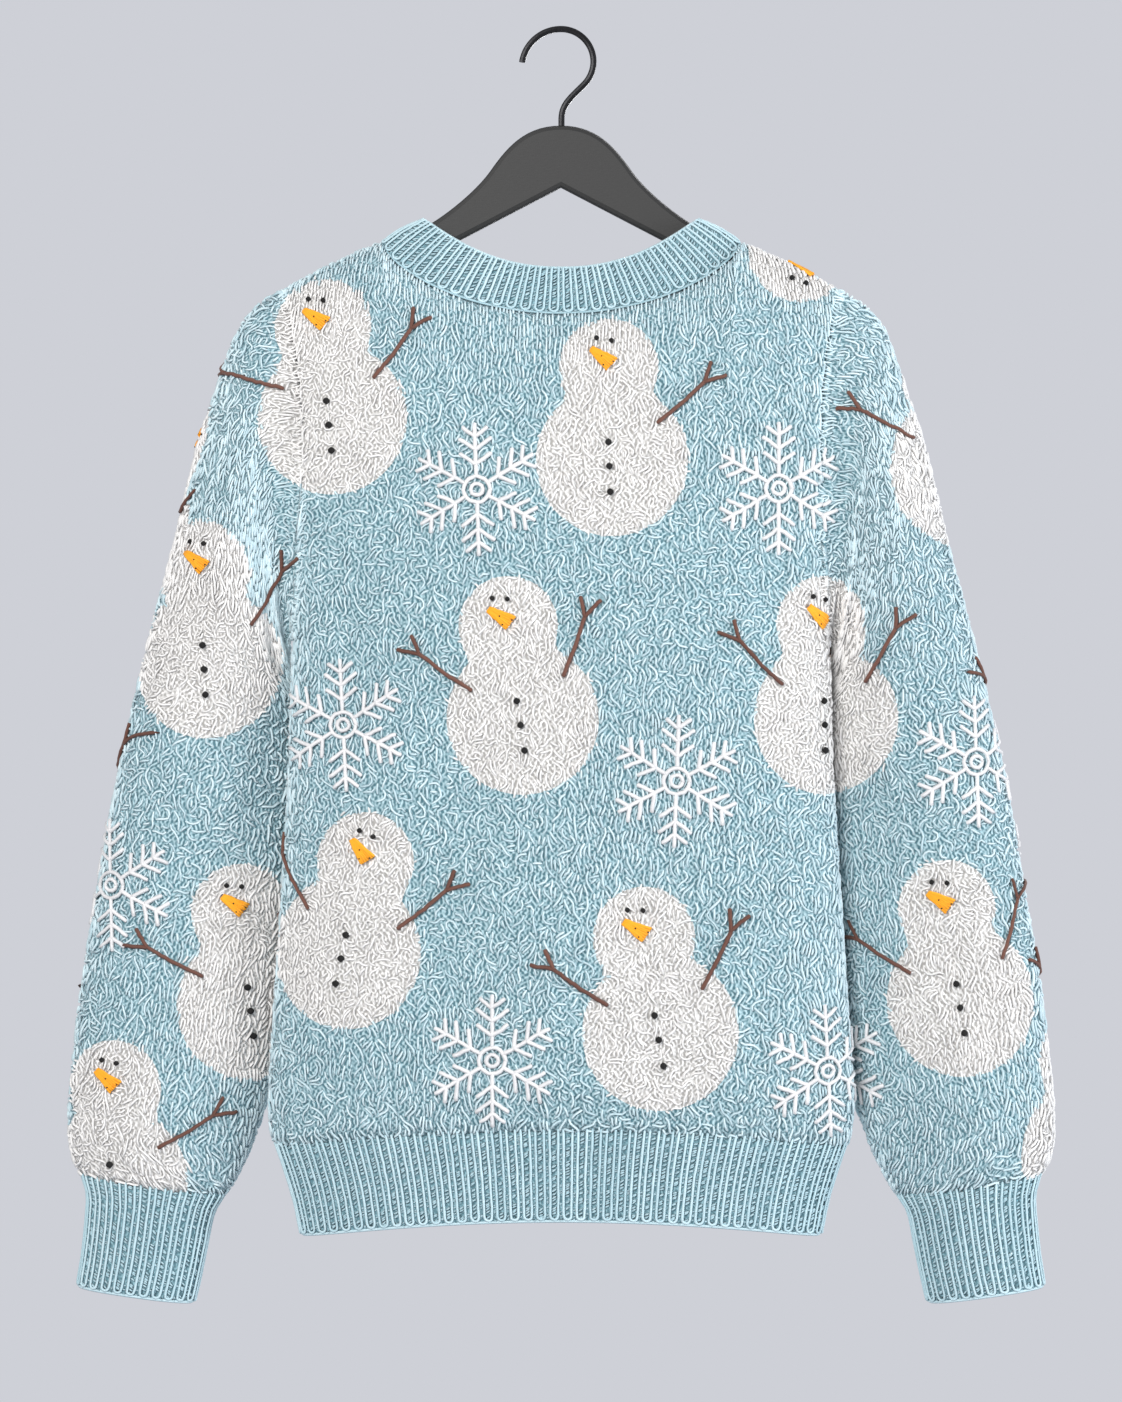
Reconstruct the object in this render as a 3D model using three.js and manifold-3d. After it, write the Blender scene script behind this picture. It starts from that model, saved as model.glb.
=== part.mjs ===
// A chunky knitted crew-neck jumper hung on a flat contoured hanger, its back towards -Y.
// Millimetres, +Z up. The origin is under the crown of the hook, where a rail holds it.
// The front and back panels, two sleeves and four ribbed bands are walls of cloth with open ends.
import * as THREE from "three";
import { mergeVertices } from "three/addons/utils/BufferGeometryUtils.js";
import Module from "manifold-3d";

const V = (x, y, z) => new THREE.Vector3(x, y, z);

// Cloth
const WALL = 3;
const SEAM_GAP = 0.3;
const NECK_GAP = 0.36;
const ARMHOLE_GAP = 0.36;
const RIB_BASE = 2.6;
const RIB_RAISE = 1.6;
const RIB_WALL = RIB_BASE + RIB_RAISE;

// Neck, shoulder and armhole, measured on the outside of the cloth
const NECK = { halfWidth: 117, sideZ: -135.7, side: 3 };
const NECK_TOP = { halfWidth: 89.7, sideZ: -121, curve: 2.2, side: 3 };
const SHOULDER = { x: 181, z: -167 };
const UNDERARM = { x: 174, z: -395 };
const ARMHOLE_MIDDLE = (SHOULDER.z + UNDERARM.z) / 2;
const ARMHOLE_HALF = (SHOULDER.z - UNDERARM.z) / 2;
const ARMHOLE_DEPTH = 28;
const ARMHOLE_ROUND = 0.85;
const ARMHOLE_TUCK = 3;
const SHOULDER_ROUND = 2.4;
const NECK_REACH = 6;

// The two halves of the garment: which way each faces, how boxy it is and how low its neck drops
const BACK = {
  side: -1,
  boxy: 2.6,
  neckDepth: 28,
  neckTopDepth: 24,
  drop: 48.6,
  curve: 0.68,
  topDrop: 33.7,
  neckColumns: 10,
  ribsPerColumn: 1.5,
};
const FRONT = {
  side: 1,
  boxy: 2.1,
  neckDepth: 34,
  neckTopDepth: 29,
  drop: 104.3,
  curve: 1,
  topDrop: 92,
  neckColumns: 8,
  ribsPerColumn: 2,
};

// Half width and depth of the body under the arms, row by row down to the hem seam
const BODY = [
  { z: -395, halfWidth: 174, back: 51, front: 49 },
  { z: -412, halfWidth: 175.4, back: 51.2, front: 49.2 },
  { z: -470, halfWidth: 176.8, back: 52, front: 50 },
  { z: -560, halfWidth: 182, back: 52, front: 50 },
  { z: -650, halfWidth: 188, back: 52, front: 50 },
  { z: -695, halfWidth: 190.5, back: 50, front: 48 },
  { z: -714, halfWidth: 189, back: 46.5, front: 44.5 },
  { z: -723, halfWidth: 186.5, back: 44, front: 42 },
];
const HEM_BAND = [
  { z: -723.36, halfWidth: 186, back: 43.5, front: 41.5 },
  { z: -742, halfWidth: 179.5, back: 41.5, front: 39.5 },
  { z: -761, halfWidth: 174, back: 40.5, front: 38.5 },
  { z: -780.5, halfWidth: 170, back: 40, front: 38 },
];
const HEM_SIDES_HANG = 12;
const HEM_RIBS = 44;

// Half width across the back at the armhole edge
const ARMHOLE = [
  { z: -395, x: 174 },
  { z: -354, x: 170 },
  { z: -293, x: 168 },
  { z: -240, x: 169 },
  { z: -200, x: 174 },
  { z: -167, x: 181 },
];

// Sections down a sleeve: its outer edge, its inner edge and half its depth
const SLEEVE = [
  { outX: 181.3, outY: 0, outZ: -167, inX: 174.3, inY: 0, inZ: -395, depth: 28 },
  { outX: 196, outY: 0.5, outZ: -175.5, inX: 176, inY: 4, inZ: -397.5, depth: 32 },
  { outX: 211, outY: 1, outZ: -193.5, inX: 176, inY: 9, inZ: -400.5, depth: 35 },
  { outX: 225, outY: 2, outZ: -232, inX: 175.6, inY: 15, inZ: -406, depth: 37 },
  { outX: 238, outY: 3, outZ: -271.5, inX: 174.6, inY: 21, inZ: -414, depth: 38 },
  { outX: 252, outY: 4, outZ: -330, inX: 172.8, inY: 28.5, inZ: -427, depth: 38.5 },
  { outX: 266, outY: 5, outZ: -384, inX: 169, inY: 36, inZ: -443, depth: 38.5 },
  { outX: 281, outY: 6, outZ: -447, inX: 167, inY: 40, inZ: -466, depth: 38 },
  { outX: 292.5, outY: 7, outZ: -500, inX: 169, inY: 40, inZ: -515, depth: 37.5 },
  { outX: 303.5, outY: 8, outZ: -564, inX: 175, inY: 37, inZ: -580, depth: 37 },
  { outX: 313, outY: 8, outZ: -620, inX: 183, inY: 32, inZ: -638, depth: 37 },
  { outX: 320, outY: 8, outZ: -681, inX: 191.5, inY: 26, inZ: -693, depth: 36.5 },
  { outX: 321.8, outY: 8, outZ: -707, inX: 198, inY: 23, inZ: -715, depth: 35 },
  { outX: 321, outY: 8, outZ: -724, inX: 205, inY: 20, inZ: -733, depth: 32.5 },
  { outX: 317.5, outY: 8, outZ: -737, inX: 213, inY: 17, inZ: -749, depth: 29 },
  { outX: 313, outY: 8, outZ: -744, inX: 219.5, inY: 16, inZ: -758, depth: 26 },
];
const SLEEVE_BOXY = 2.05;
const CUFF = [
  { outX: 312.8, outY: 8, outZ: -744.4, inX: 219.8, inY: 16, inZ: -758.4, depth: 26 },
  { outX: 309.5, outY: 8, outZ: -757, inX: 226, inY: 15.5, inZ: -769, depth: 24.5 },
  { outX: 310.8, outY: 8, outZ: -777, inX: 230, inY: 15, inZ: -789, depth: 23.5 },
  { outX: 313, outY: 8, outZ: -796, inX: 234, inY: 15, inZ: -808, depth: 23 },
  { outX: 316, outY: 8, outZ: -814.5, inX: 238, inY: 14, inZ: -826, depth: 22.5 },
];
const CUFF_BOXY = 2.3;
const CUFF_RIBS = 24;

// Soft folds in the body: a line down the cloth, how wide it is and how far it stands out
const BACK_FOLDS = [
  { x0: -160, z0: -310, x1: -166, z1: -540, width: 13, out: 2.4 },
  { x0: -136, z0: -350, x1: -142, z1: -480, width: 15, out: -2.2 },
  { x0: 158, z0: -270, x1: 165, z1: -500, width: 13, out: 2.8 },
  { x0: 133, z0: -300, x1: 141, z1: -430, width: 14, out: -2.6 },
  { x0: -62, z0: -430, x1: -78, z1: -660, width: 30, out: -2.6 },
  { x0: 54, z0: -500, x1: 64, z1: -700, width: 26, out: -2.2 },
  { x0: -8, z0: -560, x1: 4, z1: -705, width: 24, out: 1.8 },
];
const FRONT_FOLDS = [
  { x0: -150, z0: -300, x1: -160, z1: -510, width: 14, out: 2.6 },
  { x0: -118, z0: -330, x1: -128, z1: -470, width: 17, out: -2.8 },
  { x0: 152, z0: -320, x1: 158, z1: -560, width: 13, out: 2.2 },
  { x0: 124, z0: -360, x1: 122, z1: -500, width: 16, out: -2.4 },
  { x0: -36, z0: -380, x1: -58, z1: -640, width: 32, out: -3 },
  { x0: 66, z0: -470, x1: 80, z1: -690, width: 28, out: -2.4 },
  { x0: 14, z0: -520, x1: 26, z1: -700, width: 26, out: 2 },
];
// Soft folds in a sleeve, in degrees round it (0 outside, 90 at the back, 180 inside) and in sections
const SLEEVE_FOLDS = [
  { a0: 84, s0: 0.8, a1: 132, s1: 4.5, width: 18, out: -5 },
  { a0: 276, s0: 0.8, a1: 230, s1: 4.5, width: 18, out: -4.5 },
  { a0: 60, s0: 3, a1: 96, s1: 7.5, width: 20, out: 2.4 },
  { a0: 108, s0: 8, a1: 60, s1: 10.5, width: 18, out: -2.6 },
  { a0: 300, s0: 7, a1: 250, s1: 10, width: 20, out: -3 },
  { a0: 75, s0: 11, a1: 80, s1: 14.2, width: 14, out: 1.8 },
  { a0: 118, s0: 11.5, a1: 122, s1: 14.2, width: 12, out: -1.8 },
  { a0: 285, s0: 11, a1: 280, s1: 14.2, width: 16, out: 2 },
];

// Hanger and hook
const HANGER = {
  thickness: 11,
  bevel: 3,
  crownZ: -60.9,
  notchZ: -101,
  lowerSlope: 0.521,
  bend: { x: 46, z: -90.5 },
  neckX: 89.7,
  shoulderX: 125,
  endX: 178,
  tipX: 184,
  underBandTop: 6.6,
  underBand: 8.9,
  underShoulder: 5.1,
  curveSteps: 14,
};
const HOOK = {
  wire: 2.1,
  socket: 2.55,
  radius: 21.1,
  tipRadius: 25.6,
  tipAngle: 171,
  leave: -45,
  stemX: 0.3,
  depth: 20,
  steps: 84,
  sides: 10,
};

// Grid sizes
const SHOULDER_COLUMNS = 6;
const ARMHOLE_ROWS = 12;
const BODY_ROWS = [0, 0.03, 0.075, 0.15, 0.28, 0.44, 0.62, 0.79, 0.93];
const SLEEVE_ROWS = 17;
const SLEEVE_POINTS = 2 * ARMHOLE_ROWS;

const lerp = (a, b, t) => a + (b - a) * t;
const clamp01 = (t) => Math.min(1, Math.max(0, t));
const smooth = (t) => clamp01(t) * clamp01(t) * (3 - 2 * clamp01(t));
const rounded = (u, power) => Math.pow(Math.max(0, 1 - Math.pow(Math.abs(u), power)), 1 / power);
const signedPower = (v, power) => Math.sign(v) * Math.pow(Math.abs(v), power);
const inSeries = (n, make) => Array.from({ length: n }, (_, i) => make(i));

// One column of a table as a smooth function of another column, or of the row's number
function smoothColumn(table, column, at, key) {
  const k = table.map((row, i) => (key ? row[key] : i));
  const v = table.map((row) => row[column]);
  const rising = k[1] > k[0] ? 1 : -1;
  let i = 0;
  while (i < k.length - 2 && (at - k[i + 1]) * rising > 0) i += 1;
  const slope = (j) => {
    const a = Math.max(0, j - 1);
    const b = Math.min(k.length - 1, j + 1);
    return (v[b] - v[a]) / (k[b] - k[a]);
  };
  const h = k[i + 1] - k[i];
  const t = clamp01((at - k[i]) / h);
  const t2 = t * t;
  const t3 = t2 * t;
  return (
    (2 * t3 - 3 * t2 + 1) * v[i] +
    (t3 - 2 * t2 + t) * h * slope(i) +
    (3 * t2 - 2 * t3) * v[i + 1] +
    (t3 - t2) * h * slope(i + 1)
  );
}

// How far a table of folds lifts the cloth at a place, fading to nothing at each fold's ends
function foldLift(folds, x, z) {
  let lift = 0;
  for (const f of folds) {
    const dx = f.x1 - f.x0;
    const dz = f.z1 - f.z0;
    const length = Math.hypot(dx, dz);
    const along = ((x - f.x0) * dx + (z - f.z0) * dz) / (length * length);
    const across = ((x - f.x0) * dz - (z - f.z0) * dx) / length;
    const fade = smooth((along + 0.15) / 0.35) * smooth((1.15 - along) / 0.35);
    lift += f.out * Math.exp(-((across / f.width) ** 2)) * fade;
  }
  return lift;
}

// Outward normals of a grid of points; "around" says that its columns close on themselves
function gridNormals(grid, around) {
  const rows = grid.length;
  const columns = grid[0].length;
  const column = (c) => (around ? (c + columns) % columns : Math.min(columns - 1, Math.max(0, c)));
  return grid.map((row, r) =>
    row.map((_, c) => {
      const across = grid[r][column(c + 1)].clone().sub(grid[r][column(c - 1)]);
      const up = grid[Math.min(rows - 1, r + 1)][c].clone().sub(grid[Math.max(0, r - 1)][c]);
      return across.cross(up).normalize();
    }),
  );
}

// A closed body from two grids of points, an outer face and an inner one with as many or half the columns
function wallGeometry(outer, inner, around) {
  const points = [];
  const index = [];
  const add = (grid) => grid.map((row) => row.map((p) => points.push(p.x, p.y, p.z) / 3 - 1));
  const o = add(outer);
  const n = add(inner);
  const rows = outer.length;
  const turn = (grid, r, c) => grid[r][around ? c % grid[r].length : c];
  const face = (grid, flip) => {
    const columns = around ? grid[0].length : grid[0].length - 1;
    for (let r = 0; r < rows - 1; r += 1) {
      for (let c = 0; c < columns; c += 1) {
        const q = [turn(grid, r, c), turn(grid, r, c + 1), turn(grid, r + 1, c + 1), turn(grid, r + 1, c)];
        if (flip) q.reverse();
        index.push(q[0], q[1], q[2], q[0], q[2], q[3]);
      }
    }
  };
  face(o, false);
  face(n, true);
  const ratio = outer[0].length === inner[0].length ? 1 : 2;
  const rim = (r, flip) => {
    const columns = around ? inner[0].length : inner[0].length - 1;
    for (let c = 0; c < columns; c += 1) {
      const i0 = turn(n, r, c);
      const i1 = turn(n, r, c + 1);
      const edge = inSeries(ratio + 1, (k) => turn(o, r, c * ratio + k));
      const triangles = [[edge[0], i0, edge[1]]];
      for (let k = 1; k < edge.length; k += 1) {
        if (k > 1) triangles.push([edge[k - 1], i1, edge[k]]);
        else triangles.push([i0, i1, edge[1]]);
      }
      for (const t of triangles) index.push(...(flip ? t.reverse() : t));
    }
  };
  rim(0, false);
  rim(rows - 1, true);
  if (!around) {
    for (let r = 0; r < rows - 1; r += 1) {
      const last = outer[0].length - 1;
      index.push(o[r][0], o[r + 1][0], n[r][0], n[r][0], o[r + 1][0], n[r + 1][0]);
      index.push(o[r][last], n[r][last], o[r + 1][last], n[r][last], n[r + 1][last], o[r + 1][last]);
    }
  }
  const geometry = new THREE.BufferGeometry();
  geometry.setAttribute("position", new THREE.Float32BufferAttribute(points, 3));
  geometry.setIndex(facingOut(points, index));
  geometry.computeVertexNormals();
  return geometry;
}

// The triangles turned so that the body they close has a positive volume
function facingOut(points, index) {
  const at = (i) => V(points[3 * i], points[3 * i + 1], points[3 * i + 2]);
  let volume = 0;
  for (let i = 0; i < index.length; i += 3) {
    volume += at(index[i]).dot(at(index[i + 1]).cross(at(index[i + 2])));
  }
  if (volume >= 0) return index;
  const turned = [];
  for (let i = 0; i < index.length; i += 3) turned.push(index[i], index[i + 2], index[i + 1]);
  return turned;
}

// Height of the top edge of a panel: the neck seam, then the shoulder seam
function topEdgeZ(half, x) {
  const u = Math.abs(x) / NECK.halfWidth;
  if (u < 1) return NECK.sideZ - half.drop * Math.pow(1 - u * u, half.curve);
  const t = (Math.abs(x) - NECK.halfWidth) / (SHOULDER.x - NECK.halfWidth);
  return lerp(NECK.sideZ, SHOULDER.z, t) + 1.5 * Math.sin(Math.PI * t);
}

// A place on the neck seam, at a share of its half width
function neckSeamPoint(half, u) {
  const x = u * NECK.halfWidth;
  return V(x, half.neckDepth * rounded(u, NECK.side), topEdgeZ(half, 0.99999 * x));
}

// Shares of the half width at which a panel's columns run, from the middle to the side:
// equal steps along the neck seam, then the same shares of the shoulder on both panels
function columnShares(half) {
  const neckShare = NECK.halfWidth / SHOULDER.x;
  const start = Math.acos(Math.pow(neckShare, BACK.boxy / 2));
  const seam = inSeries(241, (k) => neckSeamPoint(half, Math.sin((Math.PI * k) / 480)));
  const neck = evenly(seam, half.neckColumns)
    .slice(0, -1)
    .map((p) => p.x / SHOULDER.x);
  const side = inSeries(SHOULDER_COLUMNS + 1, (k) =>
    Math.pow(Math.cos(start * (1 - k / SHOULDER_COLUMNS)), 2 / BACK.boxy),
  );
  return [...neck, ...side];
}

// The front or the back: a grid of outer points from the hem seam up to the neck and shoulders
function panelGrid(half, folds) {
  const right = columnShares(half);
  const shares = [...right.slice(1).reverse().map((u) => -u), ...right];
  const depthColumn = half.side < 0 ? "back" : "front";
  const hemZ = BODY[BODY.length - 1].z;
  const grid = [];
  for (const t of BODY_ROWS) {
    const z = lerp(hemZ, UNDERARM.z, t);
    const halfWidth = smoothColumn(BODY, "halfWidth", z, "z");
    const depth = smoothColumn(BODY, depthColumn, z, "z");
    const hang = HEM_SIDES_HANG * (1 - smooth(t / 0.8));
    const y = (u) => half.side * depth * rounded(u, half.boxy);
    grid.push(shares.map((u) => V(u * halfWidth, y(u), z + hang * (1 - u * u))));
  }
  const fullDepth = BODY[0][depthColumn];
  for (let r = 0; r <= ARMHOLE_ROWS; r += 1) {
    const q = r / ARMHOLE_ROWS;
    const sideZ = ARMHOLE_MIDDLE - ARMHOLE_HALF * Math.cos(Math.PI * q);
    const lifted = (sideZ - UNDERARM.z) / (2 * ARMHOLE_HALF);
    const halfWidth = smoothColumn(ARMHOLE, "x", sideZ, "z");
    const edge = ARMHOLE_DEPTH * Math.pow(Math.sin(Math.PI * q), ARMHOLE_ROUND);
    grid.push(
      shares.map((u) => {
        const top = topEdgeZ(half, u * SHOULDER.x);
        const neckShare = Math.min(1, (Math.abs(u) * SHOULDER.x) / NECK.halfWidth);
        const neckY = half.neckDepth * rounded(neckShare, NECK.side);
        const topY = lerp(half.neckDepth * rounded(u, 2), neckY, Math.pow(q, NECK_REACH));
        const middle = lerp(fullDepth, topY, Math.pow(q, SHOULDER_ROUND));
        const dome = rounded(u, half.boxy);
        const edgeReach = Math.pow(1 - dome, 1 + ARMHOLE_TUCK * (1 - smooth(q / 0.6)));
        const y = half.side * (middle * dome + edge * edgeReach);
        return V(u * halfWidth, y, sideZ + (top - SHOULDER.z) * lifted);
      }),
    );
  }
  const normals = gridNormals(grid, false);
  const facing = half.side;
  grid.forEach((row, r) =>
    row.forEach((p, c) => {
      const n = normals[r][c];
      if (n.y * facing < 0) n.negate();
      const inside = 1 - Math.pow(Math.abs(shares[c]), 8);
      const clear = smooth(r / 3) * smooth((grid.length - 1 - r) / 4) * inside;
      p.addScaledVector(n, foldLift(folds, p.x, p.z) * clear);
      p.y = half.side * Math.max(SEAM_GAP / 2, half.side * p.y);
    }),
  );
  return grid;
}

// The way in through the cloth at each point of a panel: square to it, and in the seam's plane at an edge
function panelNormals(grid, half) {
  const normals = gridNormals(grid, false);
  const last = grid[0].length - 1;
  const top = grid.length - 1;
  const underarmRow = BODY_ROWS.length;
  return normals.map((row, r) =>
    row.map((n, c) => {
      if (n.y * half.side < 0) n.negate();
      const p = grid[r][c];
      if (c === 0 || c === last) {
        if (r <= underarmRow) return V(Math.sign(p.x), 0, 0);
        return V(0, p.y / ARMHOLE_DEPTH ** 2, (p.z - ARMHOLE_MIDDLE) / ARMHOLE_HALF ** 2).normalize();
      }
      if (r === 0) return n.setZ(0).normalize();
      if (r === top && Math.abs(p.y) < SEAM_GAP) {
        const slope = (SHOULDER.z - NECK.sideZ) / (SHOULDER.x - NECK.halfWidth);
        return V(-slope * Math.sign(p.x), 0, 1).normalize();
      }
      return n;
    }),
  );
}

// The inner face of a wall: each point moved in along its normal
const movedIn = (grid, normals, by) =>
  grid.map((row, r) => row.map((p, c) => p.clone().addScaledVector(normals[r][c], -by)));

function panelGeometry(panel, half) {
  const inner = movedIn(panel.grid, panel.normals, WALL);
  for (const row of inner) {
    for (const p of row) p.y = half.side * Math.max(SEAM_GAP / 2, half.side * p.y);
  }
  return wallGeometry(panel.grid, inner, false);
}

// One section of a sleeve or cuff, from its outer edge round by the back to its inner edge and on
function tubeSection(table, at, boxy, count, flip) {
  const value = (column) => smoothColumn(table, column, at);
  const out = V(flip * value("outX"), value("outY"), value("outZ"));
  const into = V(flip * value("inX"), value("inY"), value("inZ"));
  const middle = out.clone().add(into).multiplyScalar(0.5);
  const half = out.clone().sub(into).multiplyScalar(0.5);
  const chord = half.clone().normalize();
  const back = V(0, -1, 0).addScaledVector(chord, chord.y).normalize();
  const depth = value("depth");
  return inSeries(count, (i) => {
    const a = (2 * Math.PI * i) / count;
    return middle
      .clone()
      .addScaledVector(half, signedPower(Math.cos(a), 2 / boxy))
      .addScaledVector(back, depth * signedPower(Math.sin(a), 2 / boxy));
  });
}

// The armhole's edge as a closed ring, from the shoulder down the back to the underarm and up the front
function armholeRing(back, front, flip) {
  const side = (row) => row[flip > 0 ? row.length - 1 : 0].clone();
  const first = BODY_ROWS.length;
  const down = inSeries(ARMHOLE_ROWS + 1, (k) => first + ARMHOLE_ROWS - k);
  const up = down.slice(1, -1).reverse();
  const points = [
    ...down.map((r) => side(back.grid[r])),
    ...up.map((r) => side(front.grid[r])),
  ];
  points.forEach((p) => (p.x += flip * ARMHOLE_GAP));
  points[0].y = 0;
  points[ARMHOLE_ROWS].y = 0;
  return points;
}

function sleeveGrid(back, front, flip) {
  const last = SLEEVE.length - 1;
  const ring = armholeRing(back, front, flip);
  const grid = [ring];
  for (let r = 1; r <= SLEEVE_ROWS; r += 1) {
    const at = (last * r) / SLEEVE_ROWS;
    grid.push(tubeSection(SLEEVE, at, SLEEVE_BOXY, SLEEVE_POINTS, flip));
  }
  const normals = outwardTube(grid);
  grid.forEach((row, r) =>
    row.forEach((p, i) => {
      const at = (last * r) / SLEEVE_ROWS;
      const degrees = (360 * i) / SLEEVE_POINTS;
      const clear = smooth(r / 2) * smooth((SLEEVE_ROWS - r) / 2);
      p.addScaledVector(normals[r][i], sleeveLift(degrees, at) * clear);
    }),
  );
  return grid;
}

// How far the folds lift a sleeve's cloth, at an angle round it and a section down it
function sleeveLift(degrees, at) {
  let lift = 0;
  for (const f of SLEEVE_FOLDS) {
    const along = clamp01((at - f.s0) / (f.s1 - f.s0));
    const past = Math.max(0, f.s0 - at, at - f.s1);
    const across = degrees - lerp(f.a0, f.a1, along);
    lift += f.out * Math.exp(-((across / f.width) ** 2)) * Math.exp(-(past * past) / 0.5);
  }
  return lift;
}

function outwardTube(grid) {
  const normals = gridNormals(grid, true);
  const middle = grid[1].reduce((sum, p) => sum.add(p), V(0, 0, 0)).divideScalar(grid[1].length);
  const facesOut = normals[1][0].dot(grid[1][0].clone().sub(middle)) > 0;
  if (!facesOut) normals.forEach((row) => row.forEach((n) => n.negate()));
  return normals;
}

// Normals at a tube's ends laid in the plane of the end section, so that the rim is flat
function squareRim(normals, ring, r) {
  const across = ring[0].clone().sub(ring[ring.length / 2]).normalize();
  const deep = ring[ring.length / 4].clone().sub(ring[(3 * ring.length) / 4]).normalize();
  const axis = across.cross(deep).normalize();
  normals[r] = normals[r].map((n) => n.clone().addScaledVector(axis, -n.dot(axis)).normalize());
}

function sleeveGeometry(grid) {
  const normals = outwardTube(grid);
  normals[0] = grid[0].map((p) =>
    V(0, p.y / ARMHOLE_DEPTH ** 2, (p.z - ARMHOLE_MIDDLE) / ARMHOLE_HALF ** 2).normalize(),
  );
  squareRim(normals, grid[grid.length - 1], grid.length - 1);
  return wallGeometry(grid, movedIn(grid, normals, WALL), true);
}

// A ribbed band: two columns of points for each rib, every second one sunk, over a plain inside
function ribbedGeometry(grid, normals) {
  const outer = grid.map((row, r) =>
    row.map((p, c) => p.clone().addScaledVector(normals[r][c], c % 2 ? -RIB_RAISE : 0)),
  );
  const inner = grid.map((row, r) => {
    const peaks = row.filter((_, c) => c % 2 === 0);
    return peaks.map((p, c) => p.clone().addScaledVector(normals[r][2 * c], -RIB_WALL));
  });
  return wallGeometry(outer, inner, true);
}

function cuffGeometry(flip) {
  const section = (r) => tubeSection(CUFF, r, CUFF_BOXY, 8 * CUFF_RIBS, flip);
  const grid = CUFF.map((_, r) => evenlyRound(section(r), 2 * CUFF_RIBS));
  const normals = outwardTube(grid);
  squareRim(normals, grid[0], 0);
  squareRim(normals, grid[grid.length - 1], grid.length - 1);
  return ribbedGeometry(grid, normals);
}

// Points at equal steps along a line of points
function evenly(line, count) {
  const along = [0];
  for (let i = 1; i < line.length; i += 1) along.push(along[i - 1] + line[i].distanceTo(line[i - 1]));
  const total = along[along.length - 1];
  return inSeries(count + 1, (k) => {
    const at = (total * k) / count;
    let i = 0;
    while (i < line.length - 2 && along[i + 1] < at) i += 1;
    return line[i].clone().lerp(line[i + 1], clamp01((at - along[i]) / (along[i + 1] - along[i])));
  });
}

const evenlyRound = (ring, count) => evenly([...ring, ring[0]], count).slice(0, count);

// One row of the hem band: half of it behind the other, with equal ribs along each
function hemRow(row) {
  const half = (depth, boxy, side, from) =>
    inSeries(161, (k) => {
      const a = (Math.PI * k) / 160;
      const u = from * signedPower(Math.cos(a), 2 / boxy);
      const y = side * depth * Math.pow(Math.sin(a), 2 / boxy);
      return V(u * row.halfWidth, y, row.z + HEM_SIDES_HANG * (1 - u * u));
    });
  const behind = evenly(half(row.back, BACK.boxy, BACK.side, 1), 2 * HEM_RIBS);
  const before = evenly(half(row.front, FRONT.boxy, FRONT.side, -1), 2 * HEM_RIBS);
  return [...behind.slice(0, -1), ...before.slice(0, -1)];
}

function hemGeometry() {
  const grid = HEM_BAND.map(hemRow);
  const normals = outwardTube(grid);
  for (const r of [0, grid.length - 1]) normals[r] = normals[r].map((n) => n.clone().setZ(0).normalize());
  return ribbedGeometry(grid, normals);
}

// Half of the neck band's top edge, from the +X side to the -X side
function neckTopHalf(half, from) {
  return inSeries(121, (k) => {
    const u = from * Math.cos((Math.PI * k) / 120);
    return V(
      u * NECK_TOP.halfWidth,
      half.side * half.neckTopDepth * rounded(u, NECK_TOP.side),
      NECK_TOP.sideZ - half.topDrop * (1 - Math.pow(Math.abs(u), NECK_TOP.curve)),
    );
  });
}

// The neck seam on a panel, as points and ways in, from one side to the other
function neckSeamHalf(half, panel, from) {
  const middle = (panel.grid[0].length - 1) / 2;
  const top = panel.grid.length - 1;
  const columns = inSeries(2 * half.neckColumns + 1, (k) => middle + from * (half.neckColumns - k));
  const points = columns.map((c) => panel.grid[top][c].clone());
  points[0].y = 0;
  points[points.length - 1].y = 0;
  return { points, normals: columns.map((c) => panel.normals[top][c].clone()) };
}

// Each step of a line of points or directions cut into equal parts
const subdivided = (line, parts) =>
  line.slice(0, -1).flatMap((p, i) => inSeries(parts, (k) => p.clone().lerp(line[i + 1], k / parts)));

function neckBandGeometry(back, front) {
  const halves = [
    { half: BACK, panel: back, from: 1 },
    { half: FRONT, panel: front, from: -1 },
  ];
  const low = [];
  const high = [];
  const seamNormals = [];
  for (const { half, panel, from } of halves) {
    const seam = neckSeamHalf(half, panel, from);
    const parts = 2 * half.ribsPerColumn;
    low.push(...subdivided(seam.points, parts));
    seamNormals.push(...subdivided(seam.normals, parts));
    high.push(...evenly(neckTopHalf(half, from), 2 * half.neckColumns * parts).slice(0, -1));
  }
  seamNormals.forEach((n) => n.normalize());
  const rows = 4;
  const bulge = 1.6;
  const grid = inSeries(rows, (r) =>
    low.map((p, i) => {
      const along = low[(i + 1) % low.length].clone().sub(low[(i + low.length - 1) % low.length]);
      const away = along.cross(seamNormals[i]).normalize();
      if (away.dot(high[i].clone().sub(p)) < 0) away.negate();
      const gap = NECK_GAP * (1 + 2.4 * Math.pow(p.x / NECK.halfWidth, 10));
      const start = p.clone().addScaledVector(away, gap);
      const t = r / (rows - 1);
      return start.lerp(high[i], t).addScaledVector(seamNormals[i], bulge * Math.sin(Math.PI * t));
    }),
  );
  const normals = gridNormals(grid, true);
  normals.forEach((row) => row.forEach((n, i) => n.dot(seamNormals[i]) < 0 && n.negate()));
  normals[0] = seamNormals;
  return ribbedGeometry(grid, normals);
}

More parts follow.
